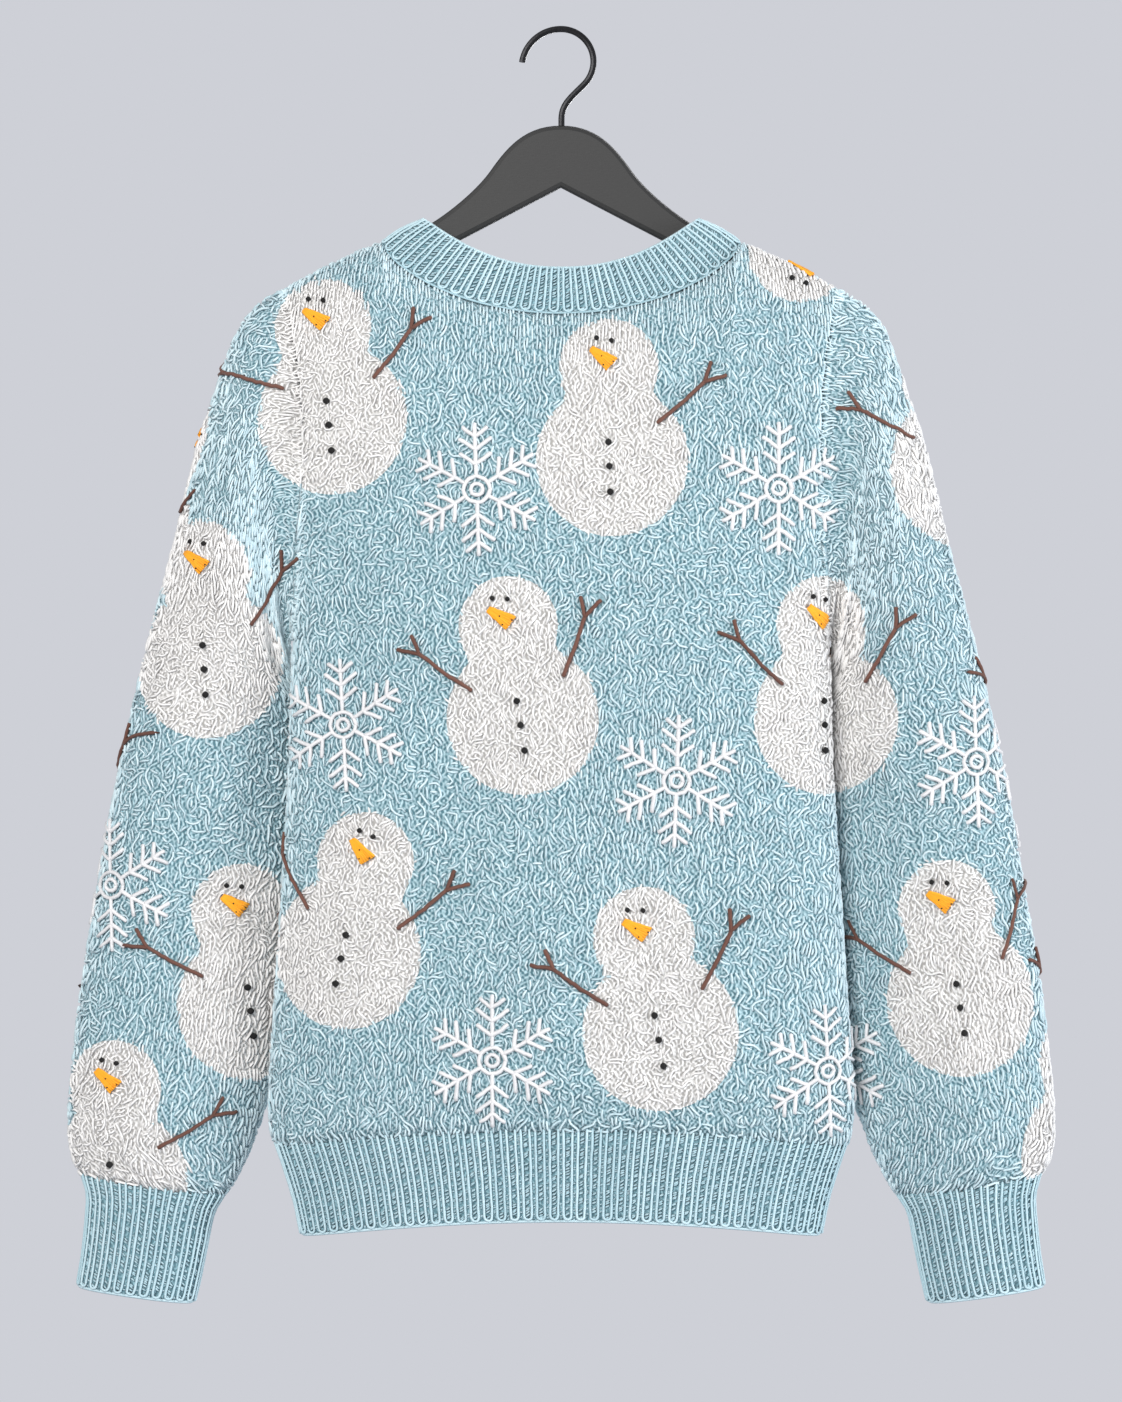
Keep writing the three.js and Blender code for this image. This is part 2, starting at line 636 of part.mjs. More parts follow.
// The right half of the hanger's outline: a crown, a hollow, then an arm just under the cloth
function hangerOutline() {
  const h = HANGER;
  const clothZ = (x, under) => {
    const t = (x - NECK_TOP.halfWidth) / (NECK.halfWidth - NECK_TOP.halfWidth);
    const outside = t < 1 ? lerp(NECK_TOP.sideZ, NECK.sideZ, t) : topEdgeZ(BACK, x);
    return outside - under;
  };
  const lowerZ = (x) => h.notchZ - h.lowerSlope * x;
  const shape = new THREE.Shape();
  const neckZ = clothZ(h.neckX, h.underBandTop);
  const armSlope = (NECK_TOP.sideZ - NECK.sideZ) / (NECK.halfWidth - NECK_TOP.halfWidth);
  const endZ = clothZ(h.endX, h.underShoulder);
  const reach = 14;
  shape.moveTo(0, h.crownZ);
  shape.bezierCurveTo(24, h.crownZ, 35.6, -75.8, h.bend.x, h.bend.z);
  shape.bezierCurveTo(55.2, -103.6, h.neckX - reach, neckZ + reach * armSlope, h.neckX, neckZ);
  shape.lineTo(NECK.halfWidth, clothZ(NECK.halfWidth, h.underBand));
  shape.lineTo(h.shoulderX, clothZ(h.shoulderX, h.underShoulder));
  shape.lineTo(h.endX, endZ);
  shape.quadraticCurveTo(h.tipX, endZ - 3, h.tipX, endZ - 10);
  shape.quadraticCurveTo(h.tipX - 1, lowerZ(h.tipX) + 1, h.endX - 6, lowerZ(h.endX - 6));
  shape.lineTo(0, h.notchZ);
  return shape.getPoints(HANGER.curveSteps);
}

async function hangerGeometry() {
  const right = hangerOutline().filter((p, i, all) => i === 0 || p.distanceTo(all[i - 1]) > 0.01);
  const left = right.slice(1, -1).reverse().map((p) => new THREE.Vector2(-p.x, p.y));
  const shape = new THREE.Shape([...right, ...left]);
  const geometry = new THREE.ExtrudeGeometry(shape, {
    depth: HANGER.thickness - 2 * HANGER.bevel,
    bevelThickness: HANGER.bevel,
    bevelSize: HANGER.bevel,
    bevelOffset: -HANGER.bevel,
    bevelSegments: 2,
    curveSegments: 1,
  });
  geometry.translate(0, 0, -(HANGER.thickness - 2 * HANGER.bevel) / 2);
  geometry.rotateX(Math.PI / 2);
  const wasm = await Module();
  wasm.setup();
  const socket = new THREE.CylinderGeometry(HOOK.socket, HOOK.socket, 2 * HOOK.depth, 10);
  socket.rotateX(Math.PI / 2).translate(HOOK.stemX, 0, HANGER.crownZ);
  const made = solid(wasm, geometry).subtract(solid(wasm, socket)).getMesh();
  const cut = new THREE.BufferGeometry();
  cut.setAttribute("position", new THREE.Float32BufferAttribute(made.vertProperties, 3));
  cut.setIndex(Array.from(made.triVerts));
  cut.computeVertexNormals();
  return cut;
}

function solid(wasm, geometry) {
  const bare = geometry.clone();
  bare.deleteAttribute("normal");
  bare.deleteAttribute("uv");
  const merged = mergeVertices(bare, 1e-4);
  return new wasm.Manifold(
    new wasm.Mesh({
      numProp: 3,
      vertProperties: merged.attributes.position.array,
      triVerts: new Uint32Array(merged.index.array),
    }),
  );
}

// The hook's wire: a wide arc at its tip, a round crown, an S-bend and a stem down into the hanger
class HookPath extends THREE.CurvePath {
  constructor() {
    super();
    const radians = THREE.MathUtils.degToRad;
    const centre = HOOK.wire - HOOK.radius;
    const tipCentre = centre + HOOK.radius - HOOK.tipRadius;
    this.add(new ArcXZ(tipCentre, HOOK.tipRadius, radians(HOOK.tipAngle), Math.PI / 2));
    this.add(new ArcXZ(centre, HOOK.radius, Math.PI / 2, radians(HOOK.leave)));
    const s = Math.SQRT1_2;
    const from = V(HOOK.radius * s, 0, centre - HOOK.radius * s);
    const stemTop = HANGER.crownZ + 4;
    this.add(
      new THREE.CubicBezierCurve3(
        from,
        from.clone().add(V(-13 * s, 0, -13 * s)),
        V(HOOK.stemX, 0, stemTop + 10),
        V(HOOK.stemX, 0, stemTop),
      ),
    );
    const stemEnd = HANGER.crownZ - HOOK.depth + SEAM_GAP;
    this.add(new THREE.LineCurve3(V(HOOK.stemX, 0, stemTop), V(HOOK.stemX, 0, stemEnd)));
  }
}

class ArcXZ extends THREE.Curve {
  constructor(centreZ, radius, from, to) {
    super();
    Object.assign(this, { centreZ, radius, from, to });
  }

  getPoint(t, target = new THREE.Vector3()) {
    const a = lerp(this.from, this.to, t);
    return target.set(this.radius * Math.cos(a), 0, this.centreZ + this.radius * Math.sin(a));
  }
}

function hookGeometry() {
  const corners = inSeries(HOOK.sides, (i) => {
    const a = (2 * Math.PI * i) / HOOK.sides;
    return new THREE.Vector2(HOOK.wire * Math.cos(a), HOOK.wire * Math.sin(a));
  });
  return new THREE.ExtrudeGeometry(new THREE.Shape(corners), {
    steps: HOOK.steps,
    extrudePath: new HookPath(),
    bevelEnabled: false,
  });
}

// Colours
const cloth = new THREE.MeshStandardMaterial({ color: 0x9fcbd8, roughness: 0.95, metalness: 0 });
const bandCloth = new THREE.MeshStandardMaterial({ color: 0x97c3cf, roughness: 0.95, metalness: 0 });
const hangerPaint = new THREE.MeshStandardMaterial({ color: 0x3f4042, roughness: 0.6, metalness: 0 });
const hookMetal = new THREE.MeshStandardMaterial({ color: 0x2b2c2d, roughness: 0.35, metalness: 0.8 });

const garment = new THREE.Group();
const addPiece = (name, geometry, material) => {
  const mesh = new THREE.Mesh(geometry, material);
  mesh.name = name;
  garment.add(mesh);
};

const panelOf = (half, folds) => {
  const grid = panelGrid(half, folds);
  return { grid, normals: panelNormals(grid, half) };
};
const backPanel = panelOf(BACK, BACK_FOLDS);
const frontPanel = panelOf(FRONT, FRONT_FOLDS);

addPiece("back_panel", panelGeometry(backPanel, BACK), cloth);
addPiece("front_panel", panelGeometry(frontPanel, FRONT), cloth);
addPiece("sleeve_right", sleeveGeometry(sleeveGrid(backPanel, frontPanel, 1)), cloth);
addPiece("sleeve_left", sleeveGeometry(sleeveGrid(backPanel, frontPanel, -1)), cloth);
addPiece("cuff_right", cuffGeometry(1), bandCloth);
addPiece("cuff_left", cuffGeometry(-1), bandCloth);
addPiece("hem_band", hemGeometry(), bandCloth);
addPiece("neck_band", neckBandGeometry(backPanel, frontPanel), bandCloth);
addPiece("hanger", await hangerGeometry(), hangerPaint);
addPiece("hook", hookGeometry(), hookMetal);

export default garment;
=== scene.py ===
"""A chunky knitted jumper with snowmen and snowflakes, hung on a flat painted hanger.

Tables and sizes are in millimetres in the row frame. Meshes are built in metres.
The cloth is a thin shell for each knitted piece, with its yarn lying on it as real loops.
"""

import logging
import math
from dataclasses import dataclass, field
from enum import Enum

import bpy
import numpy as np
from bpy.types import Material, Node, NodeSocket, NodeTree, Object
from numpy import ndarray
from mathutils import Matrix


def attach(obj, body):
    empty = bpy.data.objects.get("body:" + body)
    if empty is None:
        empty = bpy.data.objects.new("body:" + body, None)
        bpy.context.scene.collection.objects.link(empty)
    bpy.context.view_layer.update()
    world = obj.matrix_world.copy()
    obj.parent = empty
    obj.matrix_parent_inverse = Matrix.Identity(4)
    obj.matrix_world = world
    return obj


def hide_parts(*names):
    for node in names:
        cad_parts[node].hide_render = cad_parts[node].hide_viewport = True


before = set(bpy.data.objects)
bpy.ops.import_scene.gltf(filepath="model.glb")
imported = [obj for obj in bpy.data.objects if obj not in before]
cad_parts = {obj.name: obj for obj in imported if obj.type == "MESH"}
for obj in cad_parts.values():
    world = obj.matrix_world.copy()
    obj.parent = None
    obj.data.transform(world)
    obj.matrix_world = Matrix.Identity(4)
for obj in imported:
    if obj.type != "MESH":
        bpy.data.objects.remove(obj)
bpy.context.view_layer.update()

LOG = logging.getLogger("jumper")
MM = 0.001


# Sizes that the solids share


@dataclass(frozen=True)
class BodyRow:
    """One level of the body or hem: its height, half width, and depth behind and before."""

    z: float
    half_width: float
    back: float
    front: float


@dataclass(frozen=True)
class Section:
    """One slanted section of a sleeve or cuff: its outer edge, inner edge and half depth."""

    out_x: float
    out_y: float
    out_z: float
    in_x: float
    in_y: float
    in_z: float
    depth: float


@dataclass(frozen=True)
class Fold:
    """A soft fold: where its line starts and ends, its width and how far it stands out."""

    from_a: float
    from_b: float
    to_a: float
    to_b: float
    width: float
    out: float


@dataclass(frozen=True)
class HalfSizes:
    """What differs between the back and the front of the body."""

    side: int
    boxy: float
    depth_column: str
    neck_depth: float
    neck_top_depth: float
    drop: float
    curve: float
    top_drop: float
    ribs: int


class Half(Enum):
    """The two halves of the body."""

    BACK = HalfSizes(-1, 2.6, "back", 28, 24, 48.6, 0.68, 33.7, 30)
    FRONT = HalfSizes(1, 2.1, "front", 34, 29, 104.3, 1.0, 92, 32)


class Side(Enum):
    """The two sides of the jumper, by the sign of X."""

    LEFT = -1
    RIGHT = 1


NECK_HALF_WIDTH = 117.0
NECK_SIDE_Z = -135.7
NECK_TOP_HALF_WIDTH = 89.7
NECK_TOP_SIDE_Z = -121.0
NECK_TOP_CURVE = 2.2
NECK_ROUND = 3.0
SHOULDER_X = 181.0
SHOULDER_Z = -167.0
SHOULDER_BOW = 1.5
UNDERARM_Z = -395.0
ARMHOLE_MIDDLE = (SHOULDER_Z + UNDERARM_Z) / 2
ARMHOLE_HALF = (SHOULDER_Z - UNDERARM_Z) / 2
ARMHOLE_DEPTH = 28.0
ARMHOLE_ROUND = 0.85
ARMHOLE_TUCK = 3.0
SHOULDER_ROUND = 2.4
NECK_REACH = 6
HEM_SEAM_Z = -723.0
HEM_SIDES_HANG = 12.0
HEM_RIBS = 44
CUFF_RIBS = 24
WALL = 3.0
RIB_WALL = 4.2
INNER_GAP = 0.1
FINE = 401
FINE_ROUND = 721
FOLD_PAST = 0.15
FOLD_EASE = 0.35
# Painted light on the strands: each strand's top is lighter and its lower sides darker, and its sunk tips
# darker still, as light and shade on round yarn.
TOP_PAINTED_LIGHT = 0.22
TIP_PAINTED_SHADE = 0.3

BODY = (
    BodyRow(-395, 174, 51, 49),
    BodyRow(-412, 175.4, 51.2, 49.2),
    BodyRow(-470, 176.8, 52, 50),
    BodyRow(-560, 182, 52, 50),
    BodyRow(-650, 188, 52, 50),
    BodyRow(-695, 190.5, 50, 48),
    BodyRow(-714, 189, 46.5, 44.5),
    BodyRow(-723, 186.5, 44, 42),
)
HEM_ROWS = (
    BodyRow(-723.36, 186, 43.5, 41.5),
    BodyRow(-742, 179.5, 41.5, 39.5),
    BodyRow(-761, 174, 40.5, 38.5),
    BodyRow(-780.5, 170, 40, 38),
)
ARMHOLE_EDGE = ((-395, 174), (-354, 170), (-293, 168), (-240, 169), (-200, 174), (-167, 181))
PANEL_LEVELS = (0, 0.03, 0.075, 0.15, 0.28, 0.44, 0.62, 0.79, 0.93, 1.0)
ARMHOLE_LEVELS = 12
LOW_LEVELS = len(PANEL_LEVELS) - 1

SLEEVE = (
    Section(181.3, 0, -167, 174.3, 0, -395, 28),
    Section(196, 0.5, -175.5, 176, 4, -397.5, 32),
    Section(211, 1, -193.5, 176, 9, -400.5, 35),
    Section(225, 2, -232, 175.6, 15, -406, 37),
    Section(238, 3, -271.5, 174.6, 21, -414, 38),
    Section(252, 4, -330, 172.8, 28.5, -427, 38.5),
    Section(266, 5, -384, 169, 36, -443, 38.5),
    Section(281, 6, -447, 167, 40, -466, 38),
    Section(292.5, 7, -500, 169, 40, -515, 37.5),
    Section(303.5, 8, -564, 175, 37, -580, 37),
    Section(313, 8, -620, 183, 32, -638, 37),
    Section(320, 8, -681, 191.5, 26, -693, 36.5),
    Section(321.8, 8, -707, 198, 23, -715, 35),
    Section(321, 8, -724, 205, 20, -733, 32.5),
    Section(317.5, 8, -737, 213, 17, -749, 29),
    Section(313, 8, -744, 219.5, 16, -758, 26),
)
SLEEVE_LEVELS = 17
SLEEVE_BOXY = 2.05
CUFF = (
    Section(312.8, 8, -744.4, 219.8, 16, -758.4, 26),
    Section(309.5, 8, -757, 226, 15.5, -769, 24.5),
    Section(310.8, 8, -777, 230, 15, -789, 23.5),
    Section(313, 8, -796, 234, 15, -808, 23),
    Section(316, 8, -814.5, 238, 14, -826, 22.5),
)
CUFF_BOXY = 2.3

BACK_FOLDS = (
    Fold(-160, -310, -166, -540, 13, 2.4),
    Fold(-136, -350, -142, -480, 15, -2.2),
    Fold(158, -270, 165, -500, 13, 2.8),
    Fold(133, -300, 141, -430, 14, -2.6),
    Fold(-62, -430, -78, -660, 30, -2.6),
    Fold(54, -500, 64, -700, 26, -2.2),
    Fold(-8, -560, 4, -705, 24, 1.8),
)
FRONT_FOLDS = (
    Fold(-150, -300, -160, -510, 14, 2.6),
    Fold(-118, -330, -128, -470, 17, -2.8),
    Fold(152, -320, 158, -560, 13, 2.2),
    Fold(124, -360, 122, -500, 16, -2.4),
    Fold(-36, -380, -58, -640, 32, -3),
    Fold(66, -470, 80, -690, 28, -2.4),
    Fold(14, -520, 26, -700, 26, 2),
)
SLEEVE_FOLDS = (
    Fold(84, 0.8, 132, 4.5, 18, -5),
    Fold(276, 0.8, 230, 4.5, 18, -4.5),
    Fold(60, 3, 96, 7.5, 20, 2.4),
    Fold(108, 8, 60, 10.5, 18, -2.6),
    Fold(300, 7, 250, 10, 20, -3),
    Fold(75, 11, 80, 14.2, 14, 1.8),
    Fold(118, 11.5, 122, 14.2, 12, -1.8),
    Fold(285, 11, 280, 14.2, 16, 2),
)


# Helpers for curves and grids


def smooth(t: ndarray | float) -> ndarray | float:
    """A soft step from 0 to 1."""
    t = np.clip(t, 0.0, 1.0)
    return t * t * (3 - 2 * t)


def lerp(a: ndarray, b: ndarray, t: ndarray | float) -> ndarray:
    """The value a share t of the way from a to b."""
    return a + (b - a) * t


def rounded(u: ndarray, power: float) -> ndarray:
    """The rim of a rounded box: 1 in the middle and 0 at u of 1."""
    return np.power(np.maximum(0.0, 1 - np.abs(u) ** power), 1 / power)


def signed_power(v: ndarray, power: float) -> ndarray:
    """A power that keeps the sign of v."""
    return np.sign(v) * np.abs(v) ** power


def unit(v: ndarray) -> ndarray:
    """Vectors along the last axis, scaled to length 1."""
    return v / np.maximum(np.linalg.norm(v, axis=-1, keepdims=True), 1e-9)


def smooth_table(keys: ndarray, values: ndarray, at: ndarray | float) -> ndarray:
    """Reads a table as a smooth curve through its rows.

    Args:
        keys: the rows' keys, rising.
        values: the rows' values.
        at: where to read.

    Returns:
        The values there.
    """
    at = np.asarray(at, float)
    last = len(keys) - 1
    i = np.clip(np.searchsorted(keys, at, side="right") - 1, 0, last - 1)
    before, after = np.maximum(0, np.arange(last + 1) - 1), np.minimum(last, np.arange(last + 1) + 1)
    slope = (values[after] - values[before]) / (keys[after] - keys[before])
    h = keys[i + 1] - keys[i]
    t = np.clip((at - keys[i]) / h, 0, 1)
    t2, t3 = t * t, t * t * t
    return (
        (2 * t3 - 3 * t2 + 1) * values[i]
        + (t3 - 2 * t2 + t) * h * slope[i]
        + (3 * t2 - 2 * t3) * values[i + 1]
        + (t3 - t2) * h * slope[i + 1]
    )


def column_of(table: tuple[BodyRow | Section, ...], name: str) -> ndarray:
    """One column of a table, row by row."""
    return np.array([getattr(row, name) for row in table], float)


def body_column(name: str, z: ndarray | float) -> ndarray:
    """One column of the body's levels, read at a height."""
    rising = BODY[::-1]
    return smooth_table(column_of(rising, "z"), column_of(rising, name), z)


def armhole(q: ndarray) -> tuple[ndarray, ndarray, ndarray]:
    """The armhole's edge.

    Args:
        q: how far up it, from 0 at the underarm to 1 at the shoulder.

    Returns:
        Its half width, its depth behind or before the middle, and its height.
    """
    z = ARMHOLE_MIDDLE - ARMHOLE_HALF * np.cos(np.pi * q)
    keys = np.array(ARMHOLE_EDGE, float)
    depth = ARMHOLE_DEPTH * np.sin(np.pi * np.clip(q, 1e-9, 1 - 1e-9)) ** ARMHOLE_ROUND
    return smooth_table(keys[:, 0], keys[:, 1], z), depth, z


def top_edge(half: HalfSizes, x: ndarray) -> ndarray:
    """Height of a panel's top edge: the neck seam, then the shoulder seam.

    Args:
        half: the panel's sizes.
        x: how far it is from the middle, in mm.

    Returns:
        The heights.
    """
    u = np.abs(x) / NECK_HALF_WIDTH
    neck = NECK_SIDE_Z - half.drop * np.maximum(0.0, 1 - u * u) ** half.curve
    t = (np.abs(x) - NECK_HALF_WIDTH) / (SHOULDER_X - NECK_HALF_WIDTH)
    shoulder = lerp(NECK_SIDE_Z, SHOULDER_Z, t) + SHOULDER_BOW * np.sin(np.pi * np.clip(t, 0, 1))
    return np.where(u < 1, neck, shoulder)


def fold_lift(folds: tuple[Fold, ...], x: ndarray, z: ndarray) -> ndarray:
    """How far the folds lift the body's cloth at each place, in mm.

    Args:
        folds: the folds.
        x: the places' X.
        z: their heights.

    Returns:
        The lifts.
    """
    lift = np.zeros_like(x)
    for f in folds:
        dx, dz = f.to_a - f.from_a, f.to_b - f.from_b
        length = math.hypot(dx, dz)
        along = ((x - f.from_a) * dx + (z - f.from_b) * dz) / (length * length)
        across = ((x - f.from_a) * dz - (z - f.from_b) * dx) / length
        fade = smooth((along + FOLD_PAST) / FOLD_EASE) * smooth((1 + FOLD_PAST - along) / FOLD_EASE)
        lift += f.out * np.exp(-((across / f.width) ** 2)) * fade
    return lift


def sleeve_lift(degrees: ndarray, at: ndarray) -> ndarray:
    """How far the folds lift a sleeve's cloth, by angle round it and section down it.

    Args:
        degrees: the angles.
        at: the sections.

    Returns:
        The lifts, in mm.
    """
    lift = np.zeros(np.broadcast(degrees, at).shape)
    for f in SLEEVE_FOLDS:
        along = np.clip((at - f.from_b) / (f.to_b - f.from_b), 0, 1)
        past = np.maximum(0, np.maximum(f.from_b - at, at - f.to_b))
        across = degrees - lerp(f.from_a, f.to_a, along)
        lift += f.out * np.exp(-((across / f.width) ** 2)) * np.exp(-(past * past) / 0.5)
    return lift


def lengths_along(line: ndarray) -> ndarray:
    """How far each point of a line lies along it."""
    return np.concatenate([[0], np.cumsum(np.linalg.norm(np.diff(line, axis=0), axis=1))])


def equal_steps(places: ndarray, line: ndarray, count: int) -> ndarray:
    """The places whose points on a line lie at equal distances along it.

    Args:
        places: the place of each point of the line.
        line: the points.
        count: how many steps.

    Returns:
        count + 1 places.
    """
    along = lengths_along(line)
    return np.interp(np.linspace(0, along[-1], count + 1), along, places)


def evenly(line: ndarray, count: int) -> ndarray:
    """Points at count + 1 equal steps along a line of points."""
    return np.stack([equal_steps(line[:, k], line, count) for k in range(line.shape[1])], axis=1)


# Cloth as a grid of places


class ClothPatch:
    """A knitted piece's outer face, as rows of points from its lower edge up."""

    FIND_TIMES = 14
    LOST = 0.3
    FOUND = 1.0
    COARSE = 3
    BATCH = 2000

    def __init__(self, points: ndarray, around: bool, middle: int) -> None:
        """Measures the grid.

        Args:
            points: rows x columns x 3, in mm. A closed tube repeats its first column at its end.
            around: whether the columns close on themselves.
            middle: the column that counts as the middle of the piece.
        """
        self.points = points
        self.around = around
        self.middle = middle
        self.rows, self.columns = points.shape[:2]
        across = np.gradient(points, axis=1)
        if around:
            wrapped = (points[:, 1] - points[:, -2]) / 2
            across[:, 0] = wrapped
            across[:, -1] = wrapped
        up = np.gradient(points, axis=0)
        normals = unit(np.cross(across, up))
        hub = points.mean(axis=1, keepdims=True)
        if not around:
            hub[..., 1] = 0
        if np.sum(normals * (points - hub)) < 0:
            normals = -normals
        self.normals = normals
        self.up_way = unit(up)
        step = np.linalg.norm(np.diff(points, axis=1), axis=2)
        arc = np.concatenate([np.zeros((self.rows, 1)), np.cumsum(step, axis=1)], axis=1)
        self.arc_across = arc - arc[:, middle : middle + 1]
        step = np.linalg.norm(np.diff(points, axis=0), axis=2)
        self.arc_up = np.concatenate([np.zeros((1, self.columns)), np.cumsum(step, axis=0)], axis=0)

    def level(self, row: int, height: float) -> "ClothPatch":
        """Counts the heights up the cloth so that one row gets a height, and gives back the patch."""
        self.arc_up += height - self.arc_up[row : row + 1]
        return self

    def read(self, values: ndarray, row: ndarray, column: ndarray) -> ndarray:
        """Values of the grid at fractional rows and columns.

        Args:
            values: one value or point for each grid point.
            row: the rows.
            column: the columns.

        Returns:
            The values, each between those of the four grid points round it.
        """
        row = np.clip(row, 0, self.rows - 1)
        column = np.clip(column, 0, self.columns - 1)
        r = np.minimum(row.astype(int), self.rows - 2)
        c = np.minimum(column.astype(int), self.columns - 2)
        a, b = row - r, column - c
        if values.ndim == 3:
            a, b = a[..., None], b[..., None]
        low = values[r, c] * (1 - b) + values[r, c + 1] * b
        high = values[r + 1, c] * (1 - b) + values[r + 1, c + 1] * b
        return low * (1 - a) + high * a

    def find(self, across: ndarray, up: ndarray) -> tuple[ndarray, ndarray, ndarray]:
        """Finds the grid place of lengths measured on the cloth.

        Args:
            across: lengths from the piece's middle column, in mm.
            up: heights up the cloth, in mm.

        Returns:
            Rows, columns, and whether each place lies on the piece.
        """
        by_row = np.gradient(self.arc_up, axis=0)
        by_column = np.gradient(self.arc_across, axis=1)
        row = np.full(across.shape, (self.rows - 1) / 2.0)
        column = np.full(across.shape, float(self.middle))
        for _ in range(self.FIND_TIMES):
            row_step = (up - self.read(self.arc_up, row, column)) / self.read(by_row, row, column)
            row = np.clip(row + row_step, 0, self.rows - 1)
            arc = self.read(self.arc_across, row, column)
            column_step = (across - arc) / self.read(by_column, row, column)
            column = np.clip(column + column_step, 0, self.columns - 1)
        lost = self.miss(across, up, row, column) > self.LOST
        row[lost], column[lost] = self.find_askew(across[lost], up[lost])
        return row, column, self.miss(across, up, row, column) < self.FOUND

    def miss(self, across: ndarray, up: ndarray, row: ndarray, column: ndarray) -> ndarray:
        """How far grid places lie from lengths measured on the cloth, in mm."""
        off_up = np.abs(up - self.read(self.arc_up, row, column))
        return off_up + np.abs(across - self.read(self.arc_across, row, column))

    def find_askew(self, across: ndarray, up: ndarray) -> tuple[ndarray, ndarray]:
        """Finds the grid place of lengths where the rows run askew, from the nearest grid point on.

        Args:
            across: lengths from the piece's middle column, in mm.
            up: heights up the cloth, in mm.

        Returns:
            Rows and columns.
        """
        row, column = np.zeros(across.shape), np.zeros(across.shape)
        rows, columns = np.arange(0, self.rows, self.COARSE), np.arange(0, self.columns, self.COARSE)
        coarse = np.ix_(rows, columns)
        grid_across, grid_up = self.arc_across[coarse].ravel(), self.arc_up[coarse].ravel()
        for part in np.array_split(np.arange(len(across)), len(across) // self.BATCH + 1):
            away = np.hypot(across[part, None] - grid_across, up[part, None] - grid_up)
            nearest = np.argmin(away, axis=1)
            row[part] = rows[nearest // len(columns)]
            column[part] = columns[nearest % len(columns)]
        measures = GridMap(self, self.arc_across, self.arc_up)
        return measures.find(across, up, row, column, times=8, longest=2)[:2]

    def over(self, row: ndarray, column: ndarray, height: ndarray) -> tuple[ndarray, ndarray]:
        """Points at a height over the cloth, and the cloth's normals there."""
        normal = self.read(self.normals, row, column)
        return self.read(self.points, row, column) + normal * height[..., None], normal

    def area(self) -> float:
        """The cloth's area in square metres.

        Returns:
            The area.
        """
        p = self.points
        one = np.cross(p[1:, :-1] - p[:-1, :-1], p[:-1, 1:] - p[:-1, :-1])
        two = np.cross(p[1:, :-1] - p[1:, 1:], p[:-1, 1:] - p[1:, 1:])
        return float((np.linalg.norm(one, axis=2).sum() + np.linalg.norm(two, axis=2).sum()) / 2 * MM * MM)


class GridMap:
    """Two measures of each point of a patch's grid, from which grid places are found."""

    LEAST_SIZE = 0.3

    def __init__(self, patch: ClothPatch, first: ndarray, second: ndarray) -> None:
        """Works out how the two measures change along the rows and columns.

        Args:
            patch: the patch.
            first: the first measure, rows x columns.
            second: the second measure.
        """
        self.patch = patch
        self.measures = (first, second)
        self.slopes = [np.gradient(measure, axis=k) for measure in self.measures for k in (0, 1)]

    def find(
        self, first: ndarray, second: ndarray, row: ndarray, column: ndarray, times: int, longest: float
    ) -> tuple[ndarray, ndarray, ndarray]:
        """Steps closer and closer to the grid places where the measures have given values.

        Args:
            first: the values of the first measure.
            second: those of the second.
            row: the rows to start from.
            column: the columns to start from.
            times: how many steps to take.
            longest: the longest step, in rows or columns.

        Returns:
            Rows, columns, and how far off each place was before its last step.
        """
        read, least = self.patch.read, self.LEAST_SIZE
        for _ in range(times):
            miss_a = first - read(self.measures[0], row, column)
            miss_b = second - read(self.measures[1], row, column)
            a_row, a_column, b_row, b_column = (read(slope, row, column) for slope in self.slopes)
            size = a_row * b_column - a_column * b_row
            size = np.where(np.abs(size) < least, np.where(size < 0, -least, least), size)
            row_step = np.clip((miss_a * b_column - miss_b * a_column) / size, -longest, longest)
            column_step = np.clip((miss_b * a_row - miss_a * b_row) / size, -longest, longest)
            row = np.clip(row + row_step, 0, self.patch.rows - 1)
            column = np.clip(column + column_step, 0, self.patch.columns - 1)
        return row, column, np.hypot(miss_a, miss_b)


def make_mesh(name: str, points: ndarray, quads: ndarray, triangles: ndarray) -> Object:
    """Makes a smooth mesh object from arrays.

    Args:
        name: the object's name.
        points: its points, in mm.
        quads: its four-sided faces.
        triangles: its three-sided faces.

    Returns:
        The object, linked to the scene.
    """
    mesh = bpy.data.meshes.new(name)
    mesh.vertices.add(len(points))
    mesh.vertices.foreach_set("co", (points * MM).astype(np.float32).ravel())
    corners = np.concatenate([quads.ravel(), triangles.ravel()]).astype(np.int32)
    mesh.loops.add(len(corners))
    mesh.loops.foreach_set("vertex_index", corners)
    mesh.polygons.add(len(quads) + len(triangles))
    starts = np.concatenate([np.arange(len(quads)) * 4, len(quads) * 4 + np.arange(len(triangles)) * 3])
    mesh.polygons.foreach_set("loop_start", starts.astype(np.int32))
    mesh.update(calc_edges=True)
    mesh.validate()
    mesh.shade_smooth()
    piece = bpy.data.objects.new(name, mesh)
    bpy.context.scene.collection.objects.link(piece)
    return piece


def add_attribute(piece: Object, name: str, values: ndarray) -> None:
    """Gives a mesh one number for each of its points."""
    layer = piece.data.attributes.new(name, "FLOAT", "POINT")
    layer.data.foreach_set("value", values.astype(np.float32).ravel())


